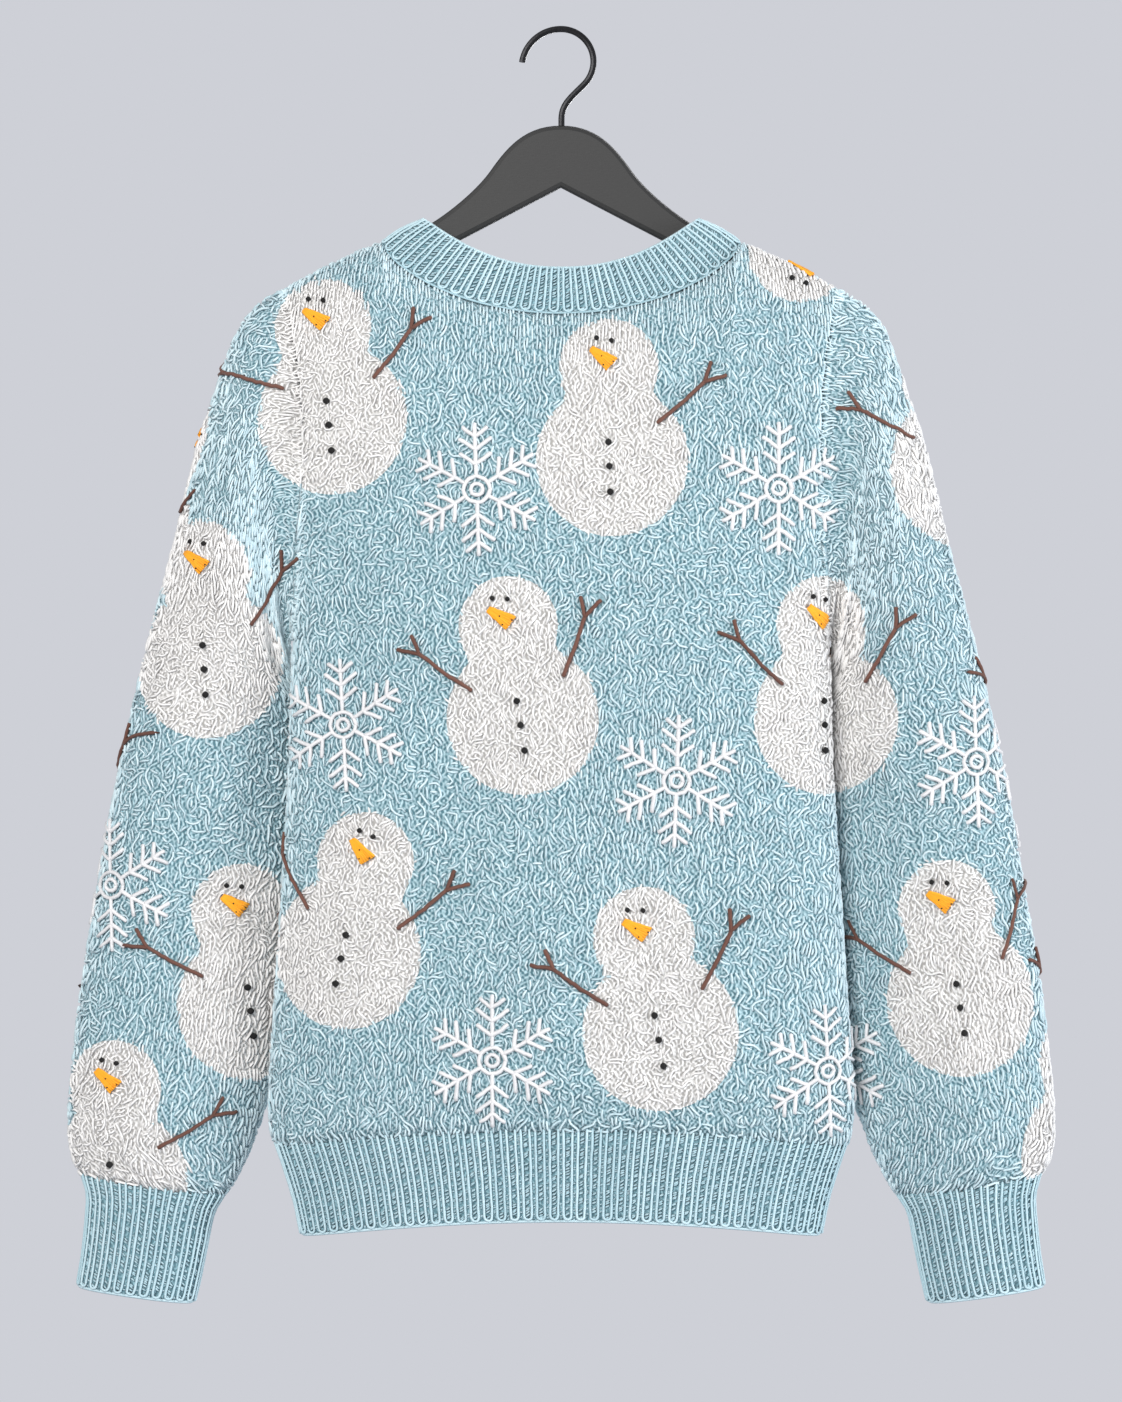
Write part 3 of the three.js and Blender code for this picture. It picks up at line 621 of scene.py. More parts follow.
def shell_mesh(name: str, outer: ndarray, inner: ndarray, around: bool, lengths: ndarray) -> Object:
    """Makes a closed thin wall from its two faces.

    Args:
        name: the object's name.
        outer: rows x columns x 3 of its outer face.
        inner: the same for its inner face.
        around: whether the columns close; the faces then have no repeated column.
        lengths: rows x columns x 2 of lengths across and up the cloth, with the closing column too.

    Returns:
        The object.
    """
    rows, columns = outer.shape[:2]
    index = np.arange(rows * columns).reshape(rows, columns)
    shift = rows * columns

    def sheet(grid: ndarray) -> ndarray:
        """Faces between all neighbours of a grid."""
        right = np.roll(grid, -1, axis=1) if around else grid[:, 1:]
        left = grid if around else grid[:, :-1]
        return np.stack([left[:-1], right[:-1], right[1:], left[1:]], axis=-1).reshape(-1, 4)

    faces = [sheet(index), sheet(index + shift)[:, ::-1]]

    def rim(edge: ndarray, closed: bool) -> ndarray:
        """Faces from an edge of the outer face to that of the inner one."""
        ends = np.roll(edge, -1) if closed else edge[1:]
        starts = edge if closed else edge[:-1]
        return np.stack([starts, starts + shift, ends + shift, ends], axis=-1)

    faces.append(rim(index[0], around))
    faces.append(rim(index[-1], around)[:, ::-1])
    if not around:
        faces.append(rim(index[:, 0], False)[:, ::-1])
        faces.append(rim(index[:, -1], False))
    quads = np.concatenate(faces)
    points = np.concatenate([outer.reshape(-1, 3), inner.reshape(-1, 3)])
    corner = points[quads]
    normal = np.cross(corner[:, 2] - corner[:, 0], corner[:, 3] - corner[:, 1])
    if np.sum(normal * corner.mean(axis=1)) < 0:
        quads = quads[:, ::-1]
    made = make_mesh(name, points, quads, np.zeros((0, 3), int))
    column = quads % columns
    row = (quads % shift) // columns
    wraps = (column.max(axis=1) - column.min(axis=1) > 1)[:, None] & (column == 0)
    spread = lengths[row, np.where(wraps, columns, column)] * MM
    layer = made.data.uv_layers.new(name="cloth")
    layer.data.foreach_set("uv", spread.astype(np.float32).ravel())
    return made


@dataclass
class Strands:
    """Lengths of yarn: the points that each follows, the way up at each point, and their radii."""

    points: ndarray
    ups: ndarray
    radii: ndarray
    tone: ndarray
    snow: ndarray | None = None

    def some(self, chosen: ndarray) -> "Strands":
        """The chosen strands."""
        snow = None if self.snow is None else self.snow[chosen]
        return Strands(self.points[chosen], self.ups[chosen], self.radii[chosen], self.tone[chosen], snow)

    def tubes(self, sides: int) -> tuple[ndarray, ndarray, ndarray, ndarray, ndarray]:
        """Works out closed tubes with pinched ends along the strands.

        Args:
            sides: how many faces go round a strand.

        Returns:
            Their points, quads, triangles, tones (with a painted highlight along each strand's top and
            painted shade on its lower sides and sunk tips) and distances from a snowman.
        """
        count, steps = self.points.shape[:2]
        along = unit(np.gradient(self.points, axis=1))
        side = unit(np.cross(along, self.ups))
        up = np.cross(side, along)
        angle = 2 * np.pi * np.arange(sides) / sides
        ring = up[:, 1:-1, None] * np.cos(angle)[:, None] + side[:, 1:-1, None] * np.sin(angle)[:, None]
        rings = self.points[:, 1:-1, None] + ring * self.radii[:, 1:-1, None, None]
        ends = [self.points[:, :1], self.points[:, -1:]]
        points = np.concatenate([rings.reshape(count, -1, 3), *ends], axis=1)
        per = points.shape[1]
        inner = steps - 2
        grid = np.arange(inner * sides).reshape(inner, sides)
        turned = np.roll(grid, -1, axis=1)
        quads = np.stack([grid[:-1], turned[:-1], turned[1:], grid[1:]], axis=-1).reshape(-1, 4)
        first, last = inner * sides, inner * sides + 1
        start = np.stack([np.full(sides, first), turned[0], grid[0]], axis=-1)
        end = np.stack([grid[-1], turned[-1], np.full(sides, last)], axis=-1)
        offset = (np.arange(count) * per)[:, None, None]
        # Painted light: the tone rises on each ring's top and falls on its lower sides, and the pinched tips
        # get painted shade.
        height = np.concatenate([np.tile(TOP_PAINTED_LIGHT * np.cos(angle), inner), [-TIP_PAINTED_SHADE, -TIP_PAINTED_SHADE]])
        tone = self.tone[:, None] + height[None]
        snow = np.zeros((count, per))
        if self.snow is not None:
            around = np.repeat(self.snow[:, 1:-1], sides, axis=1)
            snow = np.concatenate([around, self.snow[:, :1], self.snow[:, -1:]], axis=1)
        return (
            points.reshape(-1, 3),
            (quads[None] + offset).reshape(-1, 4),
            (np.concatenate([start, end])[None] + offset).reshape(-1, 3),
            tone.ravel(),
            snow.ravel(),
        )


def by_steps(parts: list[Strands]) -> list[Strands]:
    """Strands joined with those that have as many steps."""
    counts = sorted({p.points.shape[1] for p in parts})
    return [joined([p for p in parts if p.points.shape[1] == n]) for n in counts]


def joined(parts: list[Strands]) -> Strands:
    """One set of strands from several with as many steps."""
    names = ("points", "ups", "radii", "tone")
    return Strands(*[np.concatenate([getattr(part, name) for part in parts]) for name in names])


def strand_mesh(name: str, groups: list[Strands], sides: int) -> Object:
    """Makes groups of strands one mesh.

    Args:
        name: the object's name.
        groups: the strands, each group with its own number of steps.
        sides: how many faces go round a strand.

    Returns:
        The object, with the attributes tone (the strand's own tone with painted light on its top and painted
        shade at its tips) and snow.
    """
    made = [g.tubes(sides) for g in groups if len(g.points)]
    points, quads, ends, tones, snows = zip(*made)
    starts = np.cumsum([0] + [len(part) for part in points[:-1]])
    sides_of, ends_of = ([faces + start for faces, start in zip(parts, starts)] for parts in (quads, ends))
    piece = make_mesh(name, np.concatenate(points), np.concatenate(sides_of), np.concatenate(ends_of))
    add_attribute(piece, "tone", np.concatenate(tones))
    add_attribute(piece, "snow", np.concatenate(snows))
    return piece


# Finishes


Colour = tuple[int, int, int]
Shade = tuple[float, float, float, float]


def linear(colour: Colour) -> Shade:
    """A colour as it looks on a screen, 0 to 255, as the shader's own numbers."""
    parts = [c / 255 for c in colour]
    return (*[p / 12.92 if p <= 0.04045 else ((p + 0.055) / 1.055) ** 2.4 for p in parts], 1.0)


def feed(tree: NodeTree, socket: NodeSocket, value: object) -> None:
    """Sets an input, or links it where the value is another node's output.

    Args:
        tree: the nodes.
        socket: the input.
        value: its number or colour, or the output.
    """
    if isinstance(value, NodeSocket):
        tree.links.new(value, socket)
    else:
        socket.default_value = value


def node_at(tree: NodeTree, kind: str, **values: object) -> Node:
    """Adds a node and gives its named properties and inputs their values.

    Args:
        tree: the nodes.
        kind: the node's type.
        values: a value or another node's output for each, with a low line for each blank in its name.

    Returns:
        The node.
    """
    node = tree.nodes.new(kind)
    for key, value in values.items():
        if hasattr(node, key):
            setattr(node, key, value)
        else:
            feed(tree, node.inputs[key.replace("_", " ")], value)
    return node


class Recipe:
    """A material while it is built: its shader and the nodes before it."""

    def __init__(self, name: str, **shader: object) -> None:
        """Makes the material and sets its shader's plain numbers.

        Args:
            name: the material's name.
            shader: the shader's inputs, with a low line for each blank.
        """
        self.made = bpy.data.materials.new(name)
        self.made.use_nodes = True
        self.tree = self.made.node_tree
        self.shader = self.tree.nodes["Principled BSDF"]
        for key, value in shader.items():
            self.set(key, value)

    def set(self, key: str, value: object) -> None:
        """Sets or links one input of the shader."""
        feed(self.tree, self.shader.inputs[key.replace("_", " ")], value)

    def add(self, kind: str, output: str, **values: object) -> NodeSocket:
        """Adds a node and gives one of its outputs."""
        return node_at(self.tree, kind, **values).outputs[output]

    def sum(self, operation: str, *values: object) -> NodeSocket:
        """Works out a sum on numbers or outputs.

        Args:
            operation: the kind of sum.
            values: what it is worked out from, in order.

        Returns:
            Its result.
        """
        node = node_at(self.tree, "ShaderNodeMath", operation=operation)
        for socket, value in zip(node.inputs, values):
            feed(self.tree, socket, value)
        return node.outputs["Value"]

    def blend(self, deep: object, light: object, share: NodeSocket) -> NodeSocket:
        """A colour that runs from one to another."""
        return self.add("ShaderNodeMix", "Result", data_type="RGBA", A=deep, B=light, Factor=share)

    def in_snowman(self) -> NodeSocket:
        """1 inside a snowman and 0 outside."""
        return self.sum("LESS_THAN", self.add("ShaderNodeAttribute", "Fac", attribute_name="snow"), 0.0)

    def finish(
        self, colour: NodeSocket, height: NodeSocket, strength: float, distance: float
    ) -> Material:
        """Gives the shader its colour and its bump.

        Args:
            colour: the colour.
            height: the height that the bump reads.
            strength: how strong the bump is.
            distance: how high it stands, in metres.

        Returns:
            The material.
        """
        self.set("Base_Color", colour)
        bump = self.add("ShaderNodeBump", "Normal", Strength=strength, Distance=distance, Height=height)
        self.set("Normal", bump)
        return self.made


@dataclass(frozen=True)
class YarnFinish:
    """A spun yarn: its colours from deep to light, in and out of a snowman, and its fibre."""

    name: str
    deep: Colour
    light: Colour
    sheen: float = 0.25
    roughness: float = 0.9
    fibre: float = 0.25
    snow_deep: Colour | None = None
    snow_light: Colour | None = None
    mottle_size: float = 260.0
    mottle_share: float = 0.5
    fibre_size: float = 1900.0

    def material(self) -> Material:
        """Builds the yarn's material: a tone for each strand, which carries painted light on the strand's top
        and painted shade at its tips, soft mottling and fine fibres.

        Returns:
            The material.
        """
        made = Recipe(self.name, Roughness=self.roughness, Sheen_Weight=self.sheen, Sheen_Roughness=0.5)
        made.set("Specular_IOR_Level", 0.25)
        place = made.add("ShaderNodeTexCoord", "Object")
        noise = "ShaderNodeTexNoise"
        mottle = made.add(noise, "Fac", Vector=place, Scale=self.mottle_size, Detail=3.0, Roughness=0.6)
        fibre = made.add(noise, "Fac", Vector=place, Scale=self.fibre_size, Detail=2.0, Roughness=0.7)
        # The tone attribute carries painted light: each strand is lighter on its top and darker at its sunk
        # tips.
        tone = made.add("ShaderNodeAttribute", "Fac", attribute_name="tone")
        total = made.sum("MULTIPLY_ADD", mottle, self.mottle_share, tone)
        colour = made.blend(linear(self.deep), linear(self.light), total)
        if self.snow_deep is not None:
            white = made.blend(linear(self.snow_deep), linear(self.snow_light), total)
            colour = made.blend(colour, white, made.in_snowman())
        return made.finish(colour, fibre, self.fibre, 0.0004)


@dataclass(frozen=True)
class GroundFinish:
    """The cloth between the loops: a lower layer of curling yarn, in the snowmen's white or in blue, painted
    darker than the loops as the shade in the gaps between them.
    """

    name: str
    deep: Colour
    light: Colour
    snow_deep: Colour = (168, 166, 163)
    snow_light: Colour = (242, 241, 240)
    pitch: float = 0.0028
    waves: float = 1.7
    upright: float = 0.3

    def material(self) -> Material:
        """Builds the ground's material.

        Returns:
            The material.
        """
        made = Recipe(self.name, Roughness=0.95, Sheen_Weight=0.2, Specular_IOR_Level=0.2)
        lengths = made.add("ShaderNodeUVMap", "UV", uv_map="cloth")
        yarn = node_at(made.tree, "ShaderNodeTexGabor", gabor_type="2D", Vector=lengths)
        feed(made.tree, yarn.inputs["Frequency"], self.waves)
        feed(made.tree, yarn.inputs["Anisotropy"], self.upright)
        feed(made.tree, yarn.inputs["Scale"], 1 / (self.pitch * self.waves))
        turn = next(i for i in yarn.inputs if i.identifier == "Orientation 2D")
        turn.default_value = 0.0
        wave = yarn.outputs["Value"]
        crisp = made.add("ShaderNodeMapRange", "Result", From_Min=0.38, From_Max=0.62, Value=wave)
        blue = made.blend(linear(self.deep), linear(self.light), crisp)
        white = made.blend(linear(self.snow_deep), linear(self.snow_light), crisp)
        return made.finish(made.blend(blue, white, made.in_snowman()), crisp, 0.8, 0.0010)


@dataclass(frozen=True)
class PaintFinish:
    """Paint on a hard piece: its colour, gloss and fine grain."""

    name: str
    deep: Colour
    light: Colour
    roughness: float
    metallic: float
    grain: float
    stretch: tuple[float, float, float] = (1.0, 1.0, 1.0)
    grain_size: float = 900.0
    uneven: float = 0.08

    def material(self) -> Material:
        """Builds the paint's material.

        Returns:
            The material.
        """
        made = Recipe(self.name, Metallic=self.metallic, Specular_IOR_Level=0.4)
        place = made.add("ShaderNodeTexCoord", "Object")
        turned = made.add("ShaderNodeMapping", "Vector", Scale=self.stretch, Vector=place)
        noise = "ShaderNodeTexNoise"
        grain = made.add(noise, "Fac", Vector=turned, Scale=self.grain_size, Detail=4.0, Roughness=0.6)
        low, high = self.roughness - self.uneven, self.roughness + self.uneven
        made.set("Roughness", made.add("ShaderNodeMapRange", "Result", To_Min=low, To_Max=high, Value=grain))
        colour = made.blend(linear(self.deep), linear(self.light), grain)
        return made.finish(colour, grain, self.grain, 0.0003)


class Finishes:
    """All the jumper's finishes, built once."""

    SNOW = {"snow_deep": (212, 210, 208), "snow_light": (252, 251, 250)}

    def __init__(self) -> None:
        """Builds each material."""
        self.blue_yarn = YarnFinish("blue_yarn", (134, 174, 187), (229, 246, 251), **self.SNOW).material()
        self.rib_yarn = YarnFinish("rib_yarn", (138, 178, 190), (208, 231, 238)).material()
        self.flake_yarn = YarnFinish("flake_yarn", (204, 204, 206), (234, 233, 234)).material()
        self.brown_yarn = YarnFinish("brown_yarn", (80, 52, 45), (116, 80, 69), 0.1).material()
        self.black_yarn = YarnFinish("black_yarn", (12, 12, 13), (34, 33, 33), 0.05, 0.8).material()
        self.orange_yarn = YarnFinish("orange_yarn", (232, 146, 26), (253, 178, 50), 0.1).material()
        # Both grounds are painted darker than their yarn, as the shade in the gaps between the loops; their
        # curling waves are the lower yarn's own pattern.
        self.ground = GroundFinish("ground_knit", (84, 122, 133), (182, 211, 219)).material()
        self.rib_ground = GroundFinish("ground_rib", (104, 142, 153), (154, 191, 201)).material()
        grey, along = ((36, 36, 36), (48, 48, 48)), (0.25, 1, 1)
        self.hanger = PaintFinish("hanger_paint", *grey, 0.55, 0.0, 0.25, along).material()
        self.hook = PaintFinish("hook_wire", (38, 38, 40), (58, 58, 60), 0.32, 0.85, 0.1).material()


# Motifs


@dataclass(frozen=True)
class Motif:
    """A motif's place as seen square on, its tilt and its arms' lift in degrees, its size and its side."""

    x: float
    z: float
    tilt: float = 0.0
    arms: tuple[float | None, float | None] = (42.0, 54.0)
    scale: float = 1.0
    in_front: bool = False


class PlacedMotif:
    """A motif laid on a patch as it looks square on, easing round the patch's sides."""

    DEPTH_SHARE = 0.5
    PAST_EDGE = 30.0
    SEEN = 0.1
    LEAST_FACING = -0.1
    REACH = 100.0

    def __init__(self, patch: ClothPatch, motif: Motif) -> None:
        """Works out where each point of the grid lies in the motif's own axes.

        Args:
            patch: the piece's outer face.
            motif: the motif.
        """
        self.patch = patch
        self.motif = motif
        side = 1 if motif.in_front else -1
        facing = patch.normals[..., 1] * side
        off = patch.points[..., 0] - motif.x
        depth = patch.points[..., 1] - self.middle_depth(facing)[:, None]
        across = np.hypot(off, self.DEPTH_SHARE * depth) + self.PAST_EDGE * np.maximum(0, -facing)
        across *= np.where(off < 0, side, -side)
        up = patch.points[..., 2] - motif.z
        angle = math.radians(motif.tilt)
        self.x = (math.cos(angle) * across + math.sin(angle) * up) / motif.scale
        self.y = (math.cos(angle) * up - math.sin(angle) * across) / motif.scale
        self.axes = GridMap(patch, self.x, self.y)
        near = (facing > self.LEAST_FACING) & (np.hypot(self.x, self.y) < self.REACH)
        self.near = np.flatnonzero(near)

    def middle_depth(self, facing: ndarray) -> ndarray:
        """The cloth's Y on each row where it passes the motif's middle.

        Args:
            facing: how far each grid point faces the side that the motif is seen from.

        Returns:
            A depth for each row.
        """
        depths = np.zeros(self.patch.rows)
        for row in range(self.patch.rows):
            seen = np.flatnonzero(facing[row] > min(self.SEEN, facing[row].max() - 0.01))
            x, y = self.patch.points[row, seen, 0], self.patch.points[row, seen, 1]
            order = np.argsort(x)
            depths[row] = np.interp(self.motif.x, x[order], y[order])
        return depths

    def place(self, line: ndarray) -> tuple[ndarray, ndarray, ndarray]:
        """Finds points given in the motif's axes on the grid.

        Args:
            line: the points, in mm.

        Returns:
            Rows, columns, and whether each point lies on the patch.
        """
        if len(self.near) == 0:
            nowhere = np.zeros(len(line))
            return nowhere, nowhere, nowhere > 0
        off_x = line[:, :1] - self.x.ravel()[self.near]
        off_y = line[:, 1:] - self.y.ravel()[self.near]
        nearest = self.near[np.argmin(np.hypot(off_x, off_y), axis=1)]
        row, column = (v.astype(float) for v in np.divmod(nearest, self.patch.columns))
        row, column, off = self.axes.find(line[:, 0], line[:, 1], row, column, times=7, longest=1.5)
        return row, column, off < self.patch.FOUND


@dataclass(frozen=True)
class SnowmanShape:
    """A plain two-ball snowman, in mm about its middle, and the nose's corners from between its eyes."""

    head: float = 32.0
    body: float = 49.0
    head_y: float = 38.0
    body_y: float = -22.0
    blend: float = 6.0
    face_x: float = -2.5
    eye_apart: float = 9.5
    eye_y: float = 56.0
    eye: float = 1.8
    nose: tuple[tuple[float, float], ...] = ((-8.0, -6.0), (7.5, -13.0), (0.8, -19.5))
    nose_threads: int = 7
    nose_blunt: float = 0.3
    nose_thread: float = 1.0
    pip: float = 0.6
    button_x: float = -2.0
    button_y: tuple[float, ...] = (-10.5, -26.0, -42.5)
    button: float = 2.4
    shoulder: tuple[float, float] = (30.0, 1.0)
    arm: float = 40.0
    arm_sag: float = 0.8
    twigs: tuple[tuple[float, float], ...] = ((31.0, 13.0), (-24.0, 14.5))
    twig: float = 1.35

    def distance(self, x: ndarray, y: ndarray) -> ndarray:
        """How far places lie outside the snowman, in mm, below 0 inside it.

        Args:
            x: the places' X in the snowman's axes.
            y: their Y.

        Returns:
            The distances.
        """
        head = np.hypot(x, y - self.head_y) - self.head
        body = np.hypot(x, y - self.body_y) - self.body
        share = np.clip(0.5 + 0.5 * (body - head) / self.blend, 0, 1)
        return lerp(body, head, share) - self.blend * share * (1 - share)

    def nose_corners(self) -> ndarray:
        """The nose's tip and the two ends of its wide side."""
        return np.array(self.nose) + [self.face_x, self.eye_y]

    def nose_lines(self) -> list[ndarray]:
        """The threads of the nose, from near its tip to its wide side.

        Returns:
            A line of two points for each.
        """
        tip, upper, lower = self.nose_corners()
        shares = np.linspace(0, 1, self.nose_threads)
        blunt = self.nose_blunt * (lower - upper)
        return [np.array([tip + (t - 0.5) * blunt, lerp(upper, lower, t)]) for t in shares]

    def pips(self) -> list[tuple[float, float]]:
        """The three dark stitches on the nose.

        Returns:
            Their middles.
        """
        tip, upper, lower = self.nose_corners()
        low, high = 0.2 * tip + 0.8 * lower, 0.7 * upper + 0.3 * lower
        return [tuple(0.5 * tip + 0.25 * (upper + lower)), tuple(high), tuple(low)]

    def eyes(self) -> list[tuple[float, float]]:
        """The middles of the two eyes."""
        return [(self.face_x + side * self.eye_apart / 2, self.eye_y - side) for side in (-1, 1)]

    def buttons(self) -> list[tuple[float, float]]:
        """The middles of the buttons."""
        return [(self.button_x, y) for y in self.button_y]

    def arm_lines(self, side: int, lift: float) -> list[ndarray]:
        """The lines of one arm and its two twigs.

        Args:
            side: 1 for the arm on the right and -1 for the left.
            lift: its angle above level, in degrees.

        Returns:
            Three lines.
        """

        def way(degrees: float) -> ndarray:
            """A step of 1 mm that way, on this arm's side."""
            return np.array([side * math.cos(math.radians(degrees)), math.sin(math.radians(degrees))])

        start = np.array([side * self.shoulder[0], self.shoulder[1]])
        fork = start + self.arm * way(lift)
        lines = [np.array([start, lerp(start, fork, 0.5) + self.arm_sag * way(lift - 90), fork])]
        return lines + [np.array([fork, fork + length * way(lift + turn)]) for turn, length in self.twigs]


@dataclass(frozen=True)
class SnowflakeShape:
    """A plain six-armed snowflake, in mm about its middle."""

    arm: float = 42.0
    ring: float = 8.6
    centre: float = 4.0
    branches: tuple[tuple[float, float], ...] = ((16.0, 12.0), (25.5, 12.5), (34.0, 9.5))
    branch_angle: float = 54.0
    line: float = 1.4

    def lines(self) -> list[ndarray]:
        """The lines of the arms, their branches and the two rings in the middle.

        Returns:
            The lines.
        """
        made = []
        for k in range(6):
            angle = math.radians(90 + 60 * k)
            way = np.array([math.cos(angle), math.sin(angle)])
            made.append(np.array([way * self.ring, way * self.arm]))
            for at, length in self.branches:
                for s in (-1, 1):
                    turned = angle + s * math.radians(self.branch_angle)
                    tip = way * at + length * np.array([math.cos(turned), math.sin(turned)])
                    made.append(np.array([way * at, tip]))
        for radius in (self.ring, self.centre):
            around = np.linspace(0, 2 * np.pi, 13)
            made.append(radius * np.stack([np.cos(around), np.sin(around)], axis=1))
        return made


class Embroidery:
    """Threads that lie on a patch's loops."""

    FLAKE_LIFT = 0.3
    ARM_LIFT = 0.5
    KNOT_LIFT = 0.4
    PIP_LIFT = 1.2
    LOOK_EVERY = 0.7
    RING_EVERY = 2.8
    PAST_END = 0.8
    PINCH = 0.7
    END_SINK = 1.1
    KNOT = np.array([0.0, 0.72, 1.0, 1.0, 0.72, 0.0])

    def __init__(self, patch: ClothPatch, seed: int) -> None:
        """Remembers the patch and seeds the small differences between threads."""
        self.patch = patch
        self.random = np.random.default_rng(seed)

    def cords(self, placed: PlacedMotif, lines: list[ndarray], radius: float, lift: float) -> list[Strands]:
        """Covers lines with one smooth laid cord each, pinched at its ends.

        Args:
            placed: the motif that the lines belong to.
            lines: the lines, in the motif's axes.
            radius: the cords' radius in mm.
            lift: how high they lie over the cloth, in mm.

        Returns:
            The cords, cut off where they leave the patch.
        """
        made = []
        for line in lines:
            length = float(np.linalg.norm(np.diff(line, axis=0), axis=1).sum())
            before = line[:1] + unit(line[0] - line[1]) * self.PAST_END
            after = line[-1:] + unit(line[-1] - line[-2]) * self.PAST_END
            looks = max(6, int(round(length / self.LOOK_EVERY)) + 2)
            way = evenly(np.concatenate([before, line, after]), looks)
            row, column, inside = placed.place(way)
            kept = np.flatnonzero(inside)
            if len(kept) < 4 or np.any(np.diff(kept) > 1):
                continue
            steps = max(3, int(round(len(kept) * self.LOOK_EVERY / self.RING_EVERY)) + 1)
            whole = np.linspace(kept[0] + self.PINCH, kept[-1] - self.PINCH, steps)
            at = np.concatenate([kept[:1], whole, kept[-1:]])
            steps = len(at)
            row = np.interp(at, kept, row[kept]) + self.random.normal(0, 0.05, steps)
            column = np.interp(at, kept, column[kept]) + self.random.normal(0, 0.03, steps)
            height = lift + self.random.normal(0, 0.08, steps)
            height[[0, -1]] = lift - self.END_SINK
            points, normal = self.patch.over(row, column, height)
            swell = np.full(steps, radius * placed.motif.scale) * self.random.uniform(0.92, 1.08, steps)
            made.append(Strands(points[None], normal[None], swell[None], self.random.uniform(0.1, 0.5, 1)))
        return made

    def knots(
        self, placed: PlacedMotif, centres: list[tuple[float, float]], radius: float, lift: float
    ) -> list[Strands]:
        """Small round knots.

        Args:
            placed: the motif that the knots belong to.
            centres: their middles, in the motif's axes.
            radius: their radius in mm.
            lift: how high they lie over the cloth, in mm.

        Returns:
            The knots that lie on the patch.
        """
        made = []
        for x, y in centres:
            steps = len(self.KNOT)
            line = np.stack([np.full(steps, x), y + np.linspace(-1, 1, steps) * radius], axis=1)
            row, column, inside = placed.place(line)
            if not inside.all():
                continue
            points, normal = self.patch.over(row, column, np.full(steps, lift))
            tone = self.random.uniform(0, 0.5, 1)
            made.append(Strands(points[None], normal[None], radius * self.KNOT[None], tone))
        return made


# Looped yarn


